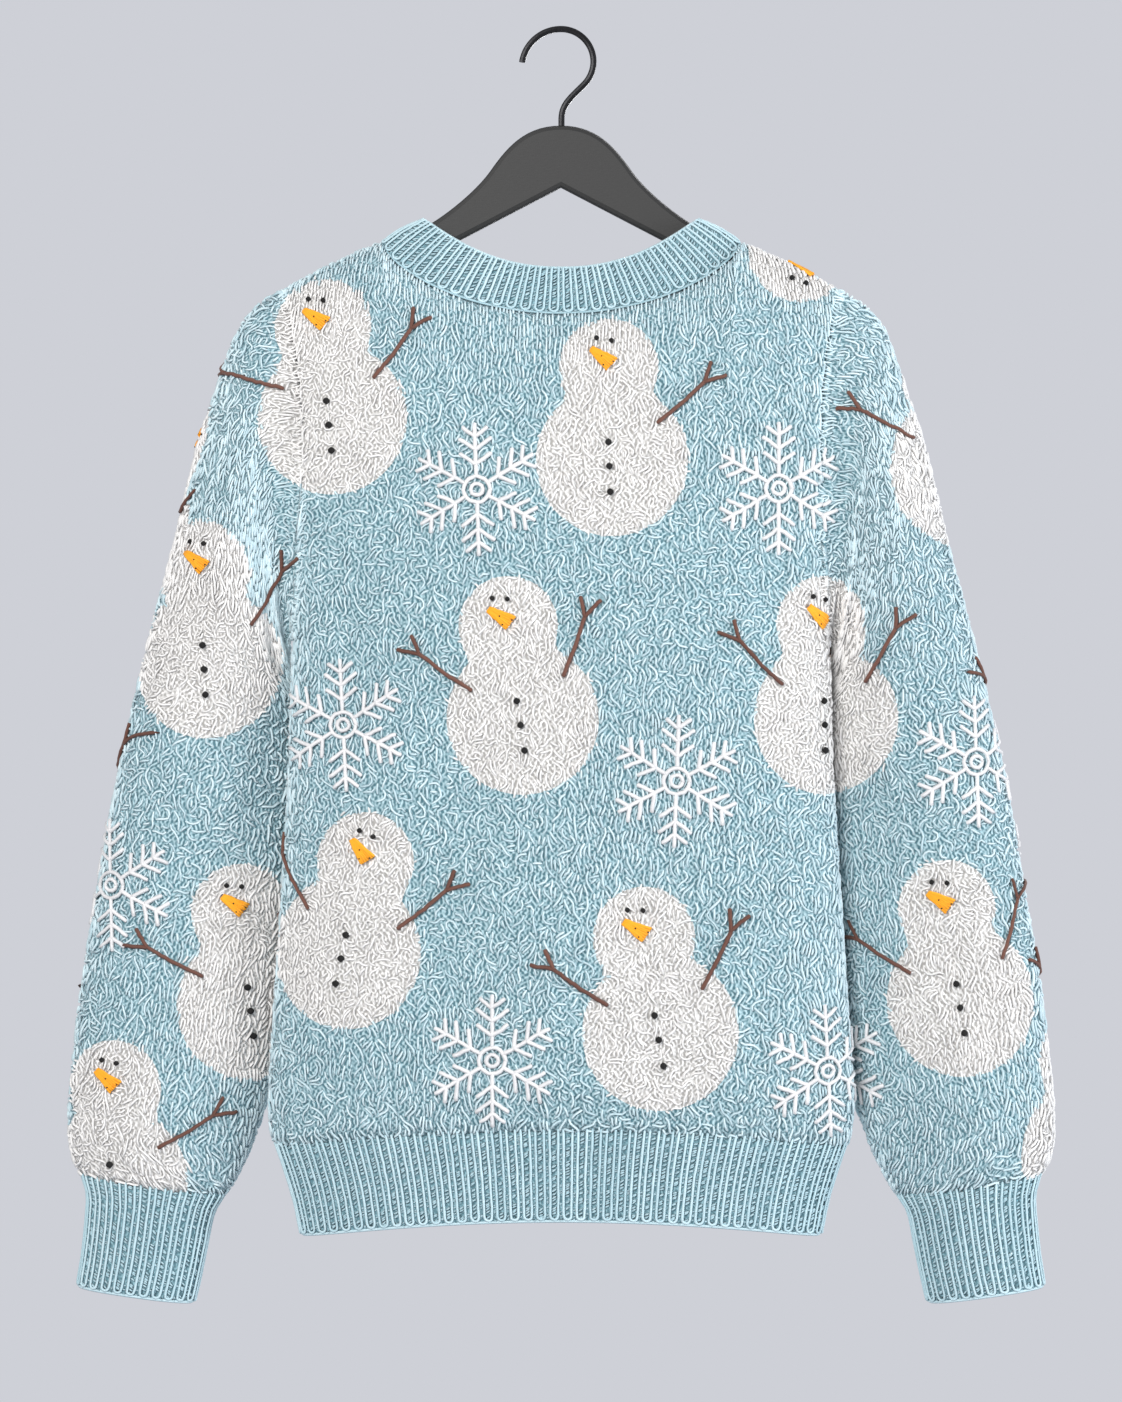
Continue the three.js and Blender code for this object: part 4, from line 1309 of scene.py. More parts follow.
@dataclass
class YarnField:
    """Curling strands of yarn that lie side by side all over a patch and never cross."""

    seed: int
    neck_seam: bool = False
    apart: float = 1.95
    step: float = 1.2
    cell: float = 0.5
    half_steps: int = 8
    seed_pitch: float = 2.2
    turns: int = 4
    radius: float = 1.0
    ring_every: float = 2.7
    least: int = 4
    waves: int = 22
    ragged: float = 1.2
    past_edge_sink: float = -2.4
    edge_pitch: float = 2.0
    jitter: float = 0.8
    sway_lengths: tuple[float, float] = (11, 23)
    free_turn: float = 44.0
    free_change: float = 15.0
    seam_turn: float = 4.0
    seam_clear: float = 12.0
    seam_ease: float = 42.0
    tip: float = 0.35
    tip_sink: float = -1.5
    arch: float = 0.35
    bed: float = -0.95

    def lay(self, patch: ClothPatch) -> list[tuple[ndarray, ndarray]]:
        """Grows the strands on a patch.

        Args:
            patch: the piece's outer face.

        Returns:
            Groups of strands with as many points each: lengths across and heights up the cloth.
        """
        self.random = np.random.default_rng(self.seed)
        self.low = np.array([patch.arc_across.min(), patch.arc_up.min()])
        self.high = np.array([patch.arc_across.max(), patch.arc_up.max()])
        size = np.ceil((self.high - self.low) / self.cell).astype(int) + 1
        self.taken = np.zeros((size[1], size[0]), np.int32)
        self.close_outside(patch)
        self.set_way()
        reach = int(self.apart / self.cell)
        near = np.arange(-reach, reach + 1)
        dx, dy = np.meshgrid(near, near)
        disc = np.hypot(dx, dy) * self.cell <= self.apart
        self.disc = np.stack([dx[disc], dy[disc]], axis=1)
        a, u = self.places(self.seed_pitch, 0.0)
        row, column = np.indices(a.shape)
        seeds = np.stack([a, u], axis=-1) + self.random.uniform(-self.jitter, self.jitter, (*a.shape, 2))
        lines: list[ndarray] = []
        first = 1
        for turn in self.random.permutation(self.turns * self.turns):
            chosen = (row % self.turns == turn // self.turns) & (column % self.turns == turn % self.turns)
            batch = seeds[chosen]
            batch = batch[self.look(batch) == 0]
            lines += self.grow(batch, first)
            first += len(batch)
        return self.grouped(lines)

    def places(self, pitch: float, past: float) -> list[ndarray]:
        """Lengths across and heights up the cloth on an even grid, and that far past its far sides."""
        return np.meshgrid(*[np.arange(low, high + past, pitch) for low, high in zip(self.low, self.high)])

    def close_outside(self, patch: ClothPatch) -> None:
        """Marks what lies off the patch as taken.

        Args:
            patch: the piece's outer face.
        """
        a, u = self.places(self.edge_pitch, self.edge_pitch)
        inside = patch.find(a.ravel(), u.ravel())[2].reshape(a.shape)
        times = int(self.edge_pitch / self.cell)
        fine = np.repeat(np.repeat(inside, times, axis=0), times, axis=1)
        fine = np.roll(fine, (-times // 2, -times // 2), axis=(0, 1))
        fine = fine[: self.taken.shape[0], : self.taken.shape[1]]
        self.taken[: fine.shape[0], : fine.shape[1]][~fine] = -1

    def set_way(self) -> None:
        """Works out the way that the yarn runs at each millimetre of cloth."""
        a, u = self.places(1.0, 1.0)
        sway = np.zeros(a.shape)
        for _ in range(self.waves):
            length = self.random.uniform(*self.sway_lengths)
            way = self.random.uniform(0, 2 * np.pi)
            phase = self.random.uniform(0, 2 * np.pi)
            sway += np.cos((a * np.cos(way) + u * np.sin(way)) * 2 * np.pi / length + phase)
        sway *= math.sqrt(2 / self.waves)
        patches = np.sin(a / 37 + 1.9 * np.sin(u / 61) + self.seed) + np.sin(u / 43 + a / 90 + 2 * self.seed)
        free = np.radians(self.free_turn + self.free_change * patches)
        if self.neck_seam:
            seam = top_edge(Half.BACK.value, a)
            away = smooth((seam - u - self.seam_clear) / self.seam_ease)
            free = lerp(np.radians(self.seam_turn), free, away)
        self.way = np.pi / 2 + free * sway

    def look(self, places: ndarray) -> ndarray:
        """What is marked at places, -1 off the patch.

        Args:
            places: lengths across and heights up the cloth.

        Returns:
            The marks.
        """
        at = np.rint((places - self.low) / self.cell).astype(int)
        height, width = self.taken.shape
        off = (at[:, 0] < 0) | (at[:, 1] < 0) | (at[:, 0] >= width) | (at[:, 1] >= height)
        at = np.clip(at, 0, [width - 1, height - 1])
        return np.where(off, -1, self.taken[at[:, 1], at[:, 0]])

    def mark(self, places: ndarray, names: ndarray) -> None:
        """Marks the free cloth round places with the strands' numbers.

        Args:
            places: lengths across and heights up the cloth.
            names: the number of each one's strand.
        """
        at = np.rint((places - self.low) / self.cell).astype(int)[:, None] + self.disc[None]
        height, width = self.taken.shape
        x, y = np.clip(at[..., 0], 0, width - 1).ravel(), np.clip(at[..., 1], 0, height - 1).ravel()
        names = np.repeat(names, len(self.disc))
        free = self.taken[y, x] == 0
        self.taken[y[free], x[free]] = names[free]

    def grow(self, seeds: ndarray, first: int) -> list[ndarray]:
        """Grows one strand both ways from each seed until it meets another.

        Args:
            seeds: where they start.
            first: the number of the first one.

        Returns:
            The strands' points.
        """
        count, most = len(seeds), self.half_steps
        names = first + np.arange(count)
        lines = np.full((count, 2 * most + 1, 2), np.nan)
        lines[:, most] = seeds
        self.mark(seeds, names)
        for sign in (1, -1):
            place = seeds.copy()
            heading = sign * self.direction(place)
            alive = np.ones(count, bool)
            length = self.random.integers(2, most + 1, count)
            for k in range(1, most + 1):
                turn = self.direction(place)
                heading = turn * np.where(np.sum(turn * heading, axis=1) < 0, -1, 1)[:, None]
                ahead = place + self.step * heading
                seen = self.look(ahead)
                alive &= (k <= length) & ((seen == 0) | (seen == names))
                place[alive] = ahead[alive]
                lines[alive, most + sign * k] = ahead[alive]
                self.mark(ahead[alive], names[alive])
        return [line[~np.isnan(line[:, 0])] for line in lines]

    def direction(self, places: ndarray) -> ndarray:
        """The way that the yarn runs at places.

        Args:
            places: lengths across and heights up the cloth.

        Returns:
            Steps of 1 mm.
        """
        at = np.rint(places - self.low).astype(int)
        at = np.clip(at, 0, [self.way.shape[1] - 1, self.way.shape[0] - 1])
        angle = self.way[at[:, 1], at[:, 0]]
        return np.stack([np.cos(angle), np.sin(angle)], axis=1)

    def grouped(self, lines: list[ndarray]) -> list[tuple[ndarray, ndarray]]:
        """Sorts the strands by length and gives each group as many points.

        Args:
            lines: the strands' points.

        Returns:
            For each group, lengths across and heights up the cloth.
        """
        groups: dict[int, list[ndarray]] = {}
        for line in lines:
            if len(line) < self.least:
                continue
            rings = max(3, int(round((len(line) - 1) * self.step / self.ring_every)) + 1)
            at = np.linspace(0, len(line) - 1, rings)
            steps = np.arange(len(line))
            even = np.stack([np.interp(at, steps, line[:, i]) for i in (0, 1)], axis=1)
            groups.setdefault(rings, []).append(even)
        made = [np.array(groups[k]) for k in sorted(groups)]
        return [(g[..., 0], g[..., 1]) for g in made]

    def longer(self, lengths: ndarray) -> ndarray:
        """Strands' lengths across or up the cloth, with a tip run on past each end.

        Args:
            lengths: strands x points.

        Returns:
            The same, two points longer.
        """
        first = lengths[:, :1] + (lengths[:, :1] - lengths[:, 1:2]) * self.tip
        last = lengths[:, -1:] + (lengths[:, -1:] - lengths[:, -2:-1]) * self.tip
        return np.concatenate([first, lengths, last], axis=1)

    def strands(self, patch: ClothPatch, across: ndarray, up: ndarray, snow: ndarray) -> Strands:
        """Lays one group of strands on the cloth.

        Args:
            patch: the piece's outer face.
            across: the points' lengths across the cloth.
            up: their heights up the cloth.
            snow: how far each grid point lies from a snowman.

        Returns:
            The strands.
        """
        random = self.random
        count = len(across)
        a, u = (self.longer(lengths) for lengths in (across, up))
        row, column, inside = patch.find(a, u)
        steps = a.shape[1]
        arch = -self.arch * np.cos(np.linspace(0, 2 * np.pi, steps))
        arch[[0, -1]] = self.tip_sink
        uneven = random.uniform(-0.3, 0.4, (count, 1)) + random.normal(0, 0.07, a.shape)
        height = np.where(inside, self.bed + arch[None] + uneven, self.past_edge_sink)
        points, normal = patch.over(row, column, height)
        radii = self.radius * random.uniform(0.9, 1.1, (count, 1)) * np.ones((1, steps))
        ragged = patch.read(snow, row, column) + random.normal(0, self.ragged, (count, 1))
        return Strands(points, normal, radii, random.uniform(0.15, 0.5, count), ragged)


# The knitted pieces


@dataclass
class KnitPiece:
    """A knitted piece: the node it stands for, its outer face, the size of its cut and its yarn."""

    node: str
    patch: ClothPatch
    flat: tuple[float, float]
    finishes: Finishes
    extras: list[Object] = field(default_factory=list)

    def shell(self, snow: ndarray, skip: int, sink: float, tuck: float, material: Material) -> Object:
        """Builds the thin cloth under the loops.

        Args:
            snow: how far each grid point lies from a snowman.
            skip: how many grid steps one face of the shell spans.
            sink: how far its outer face lies under the loops, in mm.
            tuck: how far its upper edge runs on under its neighbour, in mm.
            material: the ground's material.

        Returns:
            The shell.
        """
        patch = self.patch
        rows = np.unique(np.append(np.arange(0, patch.rows, skip), patch.rows - 1))
        columns = np.unique(np.append(np.arange(0, patch.columns, skip), patch.columns - 1))
        lengths = np.stack([patch.arc_across, patch.arc_up], axis=-1)[np.ix_(rows, columns)]
        if patch.around:
            columns = columns[:-1]
        grid = np.ix_(rows, columns)
        outer = patch.points[grid] - patch.normals[grid] * sink
        inner = patch.points[grid] - patch.normals[grid] * (WALL - INNER_GAP)
        for face in (outer, inner):
            face[-1] += patch.up_way[grid][-1] * tuck
        made = shell_mesh(self.node + "_cloth", outer, inner, patch.around, lengths)
        add_attribute(made, "snow", np.tile(snow[grid].ravel(), 2))
        made.data.materials.append(material)
        return made

    def settle(self, cloth: Object) -> None:
        """Args:
            cloth: the cloth.
        """
        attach(cloth, "root")
        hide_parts(self.node)
        area = min(self.patch.area(), self.flat[0] * self.flat[1])
        LOG.info("%s: %.3f square metres, %d extras", cloth.name, area, len(self.extras))

    def add(self, piece: Object, material: Material, slot: str) -> None:
        """Dresses a piece of yarn and rides it on the part.

        Args:
            piece: the piece.
            material: its finish.
            slot: not used.
        """
        piece.data.materials.append(material)
        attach(piece, "root")
        self.extras.append(piece)


@dataclass
class PatternedPiece:
    """A panel or sleeve with loops, snowmen and snowflakes."""

    node: str
    patch: ClothPatch
    flat: tuple[float, float]
    snowmen: tuple[Motif, ...]
    snowflakes: tuple[Motif, ...]
    seed: int
    neck_seam: bool = False
    tuck: float = 0.0
    cloth_skip: int = 2
    cloth_sink: float = 1.5
    man: SnowmanShape = field(default_factory=SnowmanShape)
    flake: SnowflakeShape = field(default_factory=SnowflakeShape)

    def __post_init__(self) -> None:
        """Places the motifs on the patch."""
        self.men = [PlacedMotif(self.patch, m) for m in self.snowmen]
        self.flakes = [PlacedMotif(self.patch, m) for m in self.snowflakes]
        self.snow = np.full(self.patch.points.shape[:2], 99.0)
        for placed in self.men:
            self.snow = np.minimum(self.snow, placed.motif.scale * self.man.distance(placed.x, placed.y))

    def build(self, finishes: Finishes, joins: list[Strands]) -> None:
        """Builds the shell, the loops in two yarns and the stitched details.

        Args:
            finishes: the materials.
            joins: the strands that run over this piece's seams.
        """
        knit = KnitPiece(self.node, self.patch, self.flat, finishes)
        cloth = knit.shell(self.snow, self.cloth_skip, self.cloth_sink, self.tuck, finishes.ground)
        yarn = YarnField(self.seed, self.neck_seam)
        laid = [yarn.strands(self.patch, across, up, self.snow) for across, up in yarn.lay(self.patch)]
        laid += joins
        white = [group.snow.mean(axis=1) < 0 for group in laid]
        blue = [group.some(~chosen) for group, chosen in zip(laid, white)]
        knit.add(strand_mesh(self.node + "_loops", blue, 3), finishes.blue_yarn, "knit")
        if any(chosen.any() for chosen in white):
            snowy = [group.some(chosen) for group, chosen in zip(laid, white)]
            knit.add(strand_mesh(self.node + "_snow_loops", snowy, 3), finishes.blue_yarn, "white_yarn")
        self.embroider(knit)
        knit.settle(cloth)

    def embroider(self, knit: KnitPiece) -> None:
        """Stitches the snowflakes, and the snowmen's arms, noses, eyes and buttons.

        Args:
            knit: the piece that they are added to.
        """
        work = Embroidery(self.patch, self.seed + 50)
        man, flake, finishes = self.man, self.flake, knit.finishes
        white: list[Strands] = []
        brown: list[Strands] = []
        black: list[Strands] = []
        orange: list[Strands] = []
        for placed in self.flakes:
            white += work.cords(placed, flake.lines(), flake.line, work.FLAKE_LIFT)
        for placed in self.men:
            for side, lift in zip((-1, 1), placed.motif.arms):
                if lift is not None:
                    brown += work.cords(placed, man.arm_lines(side, lift), man.twig, work.ARM_LIFT)
            black += work.knots(placed, man.eyes(), man.eye, work.KNOT_LIFT)
            black += work.knots(placed, man.buttons(), man.button, work.KNOT_LIFT)
            black += work.knots(placed, man.pips(), man.pip, work.PIP_LIFT)
            orange += work.cords(placed, man.nose_lines(), man.nose_thread, work.ARM_LIFT)
        for name, parts, sides, material, slot in (
            ("_snowflakes", white, 4, finishes.flake_yarn, "white_yarn"),
            ("_twigs", brown, 4, finishes.brown_yarn, "brown_yarn"),
            ("_coal", black, 6, finishes.black_yarn, "black_yarn"),
            ("_noses", orange, 4, finishes.orange_yarn, "orange_yarn"),
        ):
            if parts:
                knit.add(strand_mesh(self.node + name, by_steps(parts), sides), material, slot)


@dataclass
class ArmholeYarn:
    """Short strands that run over the seam between a panel and a sleeve."""

    seed: int
    pitch: float = 2.6
    reach: tuple[float, float] = (2.5, 6.0)
    slant: float = 3.0
    radius: float = 0.95
    rise: tuple[float, ...] = (-2.2, -1.5, -1.3, -1.2, -1.3, -1.5, -2.2)
    grid_steps: int = 12

    def join(self, panel: PatternedPiece, sleeve: PatternedPiece, first_row: int, side: Side) -> Strands:
        """Lays the strands over one seam.

        Args:
            panel: the piece of the body.
            sleeve: the sleeve.
            first_row: the panel's row at the underarm.
            side: which side of the body it is.

        Returns:
            The strands.
        """
        random = np.random.default_rng(self.seed)
        body, arm = panel.patch, sleeve.patch
        edge, inward = (0, 1) if side is Side.LEFT else (body.columns - 1, -1)
        along = lengths_along(body.points[first_row:, edge])
        count = int(along[-1] / self.pitch)
        middle = (np.arange(count) + 0.5) / count * along[-1] + random.uniform(-0.5, 0.5, count)
        share = np.linspace(-1, 1, len(self.rise))[None]
        reach = random.uniform(*self.reach, (count, 1))
        place = middle[:, None] + random.uniform(-self.slant, self.slant, (count, 1)) * share
        body_row = first_row + np.interp(place, along, np.arange(len(along)))
        inside = edge + inward * np.arange(self.grid_steps)
        body_arcs = np.abs(body.arc_across[:, inside] - body.arc_across[:, edge : edge + 1])
        body_column = edge + inward * self.steps_off(np.maximum(0, -share) * reach, body_arcs, body_row)
        arm_column = self.nearest_on_arm(body.read(body.points, body_row, np.full(body_row.shape, edge)), arm)
        arm_arcs = (arm.arc_up[-1] - arm.arc_up[: -self.grid_steps - 1 : -1]).T
        arm_row = arm.rows - 1 - self.steps_off(np.maximum(0, share) * reach, arm_arcs, arm_column)
        on_arm = np.broadcast_to(share > 0, body_row.shape)
        height = np.array([self.rise]) + random.uniform(-0.3, 0.3, (count, 1))
        sides = zip(arm.over(arm_row, arm_column, height), body.over(body_row, body_column, height))
        points, normals = (np.where(on_arm[..., None], *both) for both in sides)
        arm_snow = arm.read(sleeve.snow, arm_row, arm_column)
        snow = np.where(on_arm, arm_snow, body.read(panel.snow, body_row, body_column))
        radii = np.full(height.shape, self.radius)
        return Strands(points, normals, radii, random.uniform(0.15, 0.5, count), snow)

    def steps_off(self, lengths: ndarray, arcs: ndarray, at: ndarray) -> ndarray:
        """How many grid steps off the seam lengths of cloth lie.

        Args:
            lengths: the lengths, for each point of each strand, in mm.
            arcs: how far the first grid steps lie off the seam, for each place along it.
            at: the place of each point along the seam.

        Returns:
            The steps.
        """
        steps = np.arange(self.grid_steps)
        near = np.rint(at).astype(int)
        found = [np.interp(length, arcs[k], steps) for length, k in zip(lengths.ravel(), near.ravel())]
        return np.array(found).reshape(lengths.shape)

    def nearest_on_arm(self, seam: ndarray, arm: ClothPatch) -> ndarray:
        """The sleeve's columns that lie nearest to places on the seam.

        Args:
            seam: the places, in mm.
            arm: the sleeve's patch.

        Returns:
            The columns.
        """
        fine = np.linspace(0, arm.columns - 1, 12 * arm.columns)
        ring = arm.read(arm.points, np.full(fine.shape, arm.rows - 1.0), fine)
        away = np.linalg.norm(seam.reshape(-1, 1, 3) - ring[None], axis=2)
        return fine[np.argmin(away, axis=1)].reshape(seam.shape[:2])


class Panel:
    """The back or front of the body."""

    ROWS = 150
    COLUMNS = 132
    MEASURED_LEVEL = 0.55
    MEASURED_SHARE = 0.6

    def __init__(self, half: Half, folds: tuple[Fold, ...]) -> None:
        """Lays out the panel's grid at equal steps.

        Args:
            half: the back or the front.
            folds: its soft folds.
        """
        self.half = half.value
        self.folds = folds
        shares = np.linspace(-1, 1, FINE)
        lower = self.lower(shares, np.array([self.MEASURED_LEVEL]))[0]
        self.shares = equal_steps(shares, lower, self.COLUMNS)
        self.shares[self.COLUMNS // 2] = 0.0
        levels = np.linspace(0, 1, FINE)
        side = np.array([self.MEASURED_SHARE])
        line_low = self.lower(side, levels)[:, 0]
        line_high = self.upper(side, levels)[:, 0]
        low_length, high_length = lengths_along(line_low)[-1], lengths_along(line_high)[-1]
        low_rows = int(round(self.ROWS * low_length / (low_length + high_length)))
        low_at = equal_steps(levels, line_low, low_rows)[:-1]
        high_at = equal_steps(levels, line_high, self.ROWS - low_rows)
        self.underarm_row = low_rows
        points = np.concatenate([self.lower(self.shares, low_at), self.upper(self.shares, high_at)])
        low_levels = np.interp(low_at, PANEL_LEVELS, np.arange(LOW_LEVELS + 1.0))
        rows = np.concatenate([low_levels, LOW_LEVELS + ARMHOLE_LEVELS * high_at])
        self.patch = ClothPatch(self.folded(points, rows), False, self.COLUMNS // 2)
        self.patch.level(self.underarm_row, UNDERARM_Z)

    def lower(self, shares: ndarray, levels: ndarray) -> ndarray:
        """Points below the arms, by share of the half width and share of the height.

        Args:
            shares: from -1 at the left to 1 at the right.
            levels: from 0 at the hem to 1 at the underarm.

        Returns:
            Levels x shares x 3.
        """
        z = lerp(HEM_SEAM_Z, UNDERARM_Z, levels)[:, None]
        half_width = body_column("half_width", z)
        depth = body_column(self.half.depth_column, z)
        hang = HEM_SIDES_HANG * (1 - smooth(levels[:, None] / 0.8))
        u = shares[None]
        y = self.half.side * depth * rounded(u, self.half.boxy)
        return np.stack([u * half_width, y, z + hang * (1 - u * u)], axis=-1)

    def upper(self, shares: ndarray, levels: ndarray) -> ndarray:
        """Points between the underarm and the neck and shoulders.

        Args:
            shares: from -1 at the left to 1 at the right.
            levels: from 0 at the underarm to 1 at the top.

        Returns:
            Levels x shares x 3.
        """
        q = levels[:, None]
        u = shares[None]
        half_width, edge, side_z = armhole(q)
        lifted = (side_z - UNDERARM_Z) / (2 * ARMHOLE_HALF)
        top = top_edge(self.half, u * SHOULDER_X)
        in_neck = np.minimum(1, np.abs(u) * SHOULDER_X / NECK_HALF_WIDTH)
        neck_y = self.half.neck_depth * rounded(in_neck, NECK_ROUND)
        top_y = lerp(self.half.neck_depth * rounded(u, 2), neck_y, q**NECK_REACH)
        full = getattr(BODY[0], self.half.depth_column)
        middle = lerp(full, top_y, q**SHOULDER_ROUND)
        dome = rounded(u, self.half.boxy)
        edge_reach = (1 - dome) ** (1 + ARMHOLE_TUCK * (1 - smooth(q / 0.6)))
        y = self.half.side * (middle * dome + edge * edge_reach)
        return np.stack([u * half_width, y, side_z + (top - SHOULDER_Z) * lifted], axis=-1)

    def folded(self, points: ndarray, rows: ndarray) -> ndarray:
        """The points with the soft folds pressed into them.

        Args:
            points: the panel's grid.
            rows: the solid's row that each grid row lies at.

        Returns:
            The moved grid.
        """
        patch = ClothPatch(points, False, self.COLUMNS // 2)
        inside = 1 - np.abs(self.shares[None]) ** 8
        last = LOW_LEVELS + ARMHOLE_LEVELS
        clear = smooth(rows / 3)[:, None] * smooth((last - rows) / 4)[:, None] * inside
        lift = fold_lift(self.folds, points[..., 0], points[..., 2]) * clear
        moved = points + patch.normals * lift[..., None]
        moved[..., 1] = self.half.side * np.maximum(0.15, self.half.side * moved[..., 1])
        return moved


def tube_rings(table: tuple[Section, ...], at: ndarray, boxy: float, degrees: ndarray, side: int) -> ndarray:
    """Rings of points round a sleeve or cuff.

    Args:
        table: its sections.
        at: fractional rows of the table.
        boxy: how square the section is.
        degrees: angles round it, 0 outside and 90 at the back.
        side: the sign of X.

    Returns:
        Rings x angles x 3.
    """
    keys = np.arange(len(table), dtype=float)

    def column(name: str) -> ndarray:
        """One column of the table at each ring."""
        return smooth_table(keys, column_of(table, name), at)[:, None]

    out = np.stack([side * column("out_x"), column("out_y"), column("out_z")], axis=-1)
    into = np.stack([side * column("in_x"), column("in_y"), column("in_z")], axis=-1)
    middle, half = (out + into) / 2, (out - into) / 2
    chord = unit(half)
    back = unit(np.array([0.0, -1.0, 0.0]) + chord * chord[..., 1:2])
    angle = np.radians(degrees)[None, :, None]
    depth = column("depth")[..., None]
    return (
        middle
        + half * signed_power(np.cos(angle), 2 / boxy)
        + back * depth * signed_power(np.sin(angle), 2 / boxy)
    )


class Sleeve:
    """A sleeve from the cuff seam up to the armhole."""

    ROWS = 150
    COLUMNS = 84
    MEASURED_SECTION = 9.0
    SEAM_GAP = 0.36
    VALLEY_DEPTH = 8.0
    VALLEY_WIDTH = 34.0
    VALLEY_TOP = -235.0
    VALLEY_EASE = 70.0
    VALLEY_START = 0.7

    def __init__(self, side: Side) -> None:
        """Lays out the sleeve's grid, its columns starting at the seam on its inner side.

        Args:
            side: which sleeve it is.
        """
        self.side = side.value
        last = len(SLEEVE) - 1
        turn = np.linspace(180, 540, FINE_ROUND)
        ring = tube_rings(SLEEVE, np.array([self.MEASURED_SECTION]), SLEEVE_BOXY, turn, self.side)[0]
        degrees = equal_steps(turn, ring, self.COLUMNS)
        fine = np.linspace(0, last, FINE)
        sides = self.rings(fine, np.array([0.0, 90.0, 180.0])).mean(axis=1)
        at = equal_steps(fine, sides, self.ROWS)[::-1]
        points = self.rings(at, degrees)
        patch = ClothPatch(points, True, self.COLUMNS // 2)
        levels = at * SLEEVE_LEVELS / last
        clear = smooth(levels / 2) * smooth((SLEEVE_LEVELS - levels) / 2)
        lift = sleeve_lift(degrees[None] % 360, at[:, None]) * clear[:, None]
        from_seam = np.clip((patch.arc_up[-1] - patch.arc_up) / self.VALLEY_WIDTH, 0, 1) ** self.VALLEY_START
        low_down = smooth((self.VALLEY_TOP - points[..., 2]) / self.VALLEY_EASE)
        facing = np.abs(patch.normals[..., 1]) * low_down
        lift -= self.VALLEY_DEPTH * np.sin(np.pi * from_seam) ** 2 * facing
        self.patch = ClothPatch(points + patch.normals * lift[..., None], True, self.COLUMNS // 2)
        self.patch.level(0, 0.0)

    def rings(self, at: ndarray, degrees: ndarray) -> ndarray:
        """Rings of the sleeve, the first ones passing into the armhole's edge.

        Args:
            at: fractional rows of the sleeve's table.
            degrees: angles round it.

        Returns:
            Rings x angles x 3.
        """
        tube = tube_rings(SLEEVE, at, SLEEVE_BOXY, degrees, self.side)
        q = np.abs(1 - (degrees % 360) / 180)
        half_width, edge, z = armhole(q)
        y = np.where((degrees % 360) <= 180, -edge, edge)
        hole = np.stack([self.side * (half_width + self.SEAM_GAP), y, z], axis=-1)[None]
        blend = np.clip(at / ((len(SLEEVE) - 1) / SLEEVE_LEVELS), 0, 1)[:, None, None]
        return lerp(hole, tube, blend)


@dataclass(frozen=True)
class Stitches:
    """Stitches down a rib: their middle, half length, pitch, depth, radius, slant and tone."""

    centre: float
    reach: float
    pitch: float
    sink: float
    radius: float
    slant: float
    tone: float


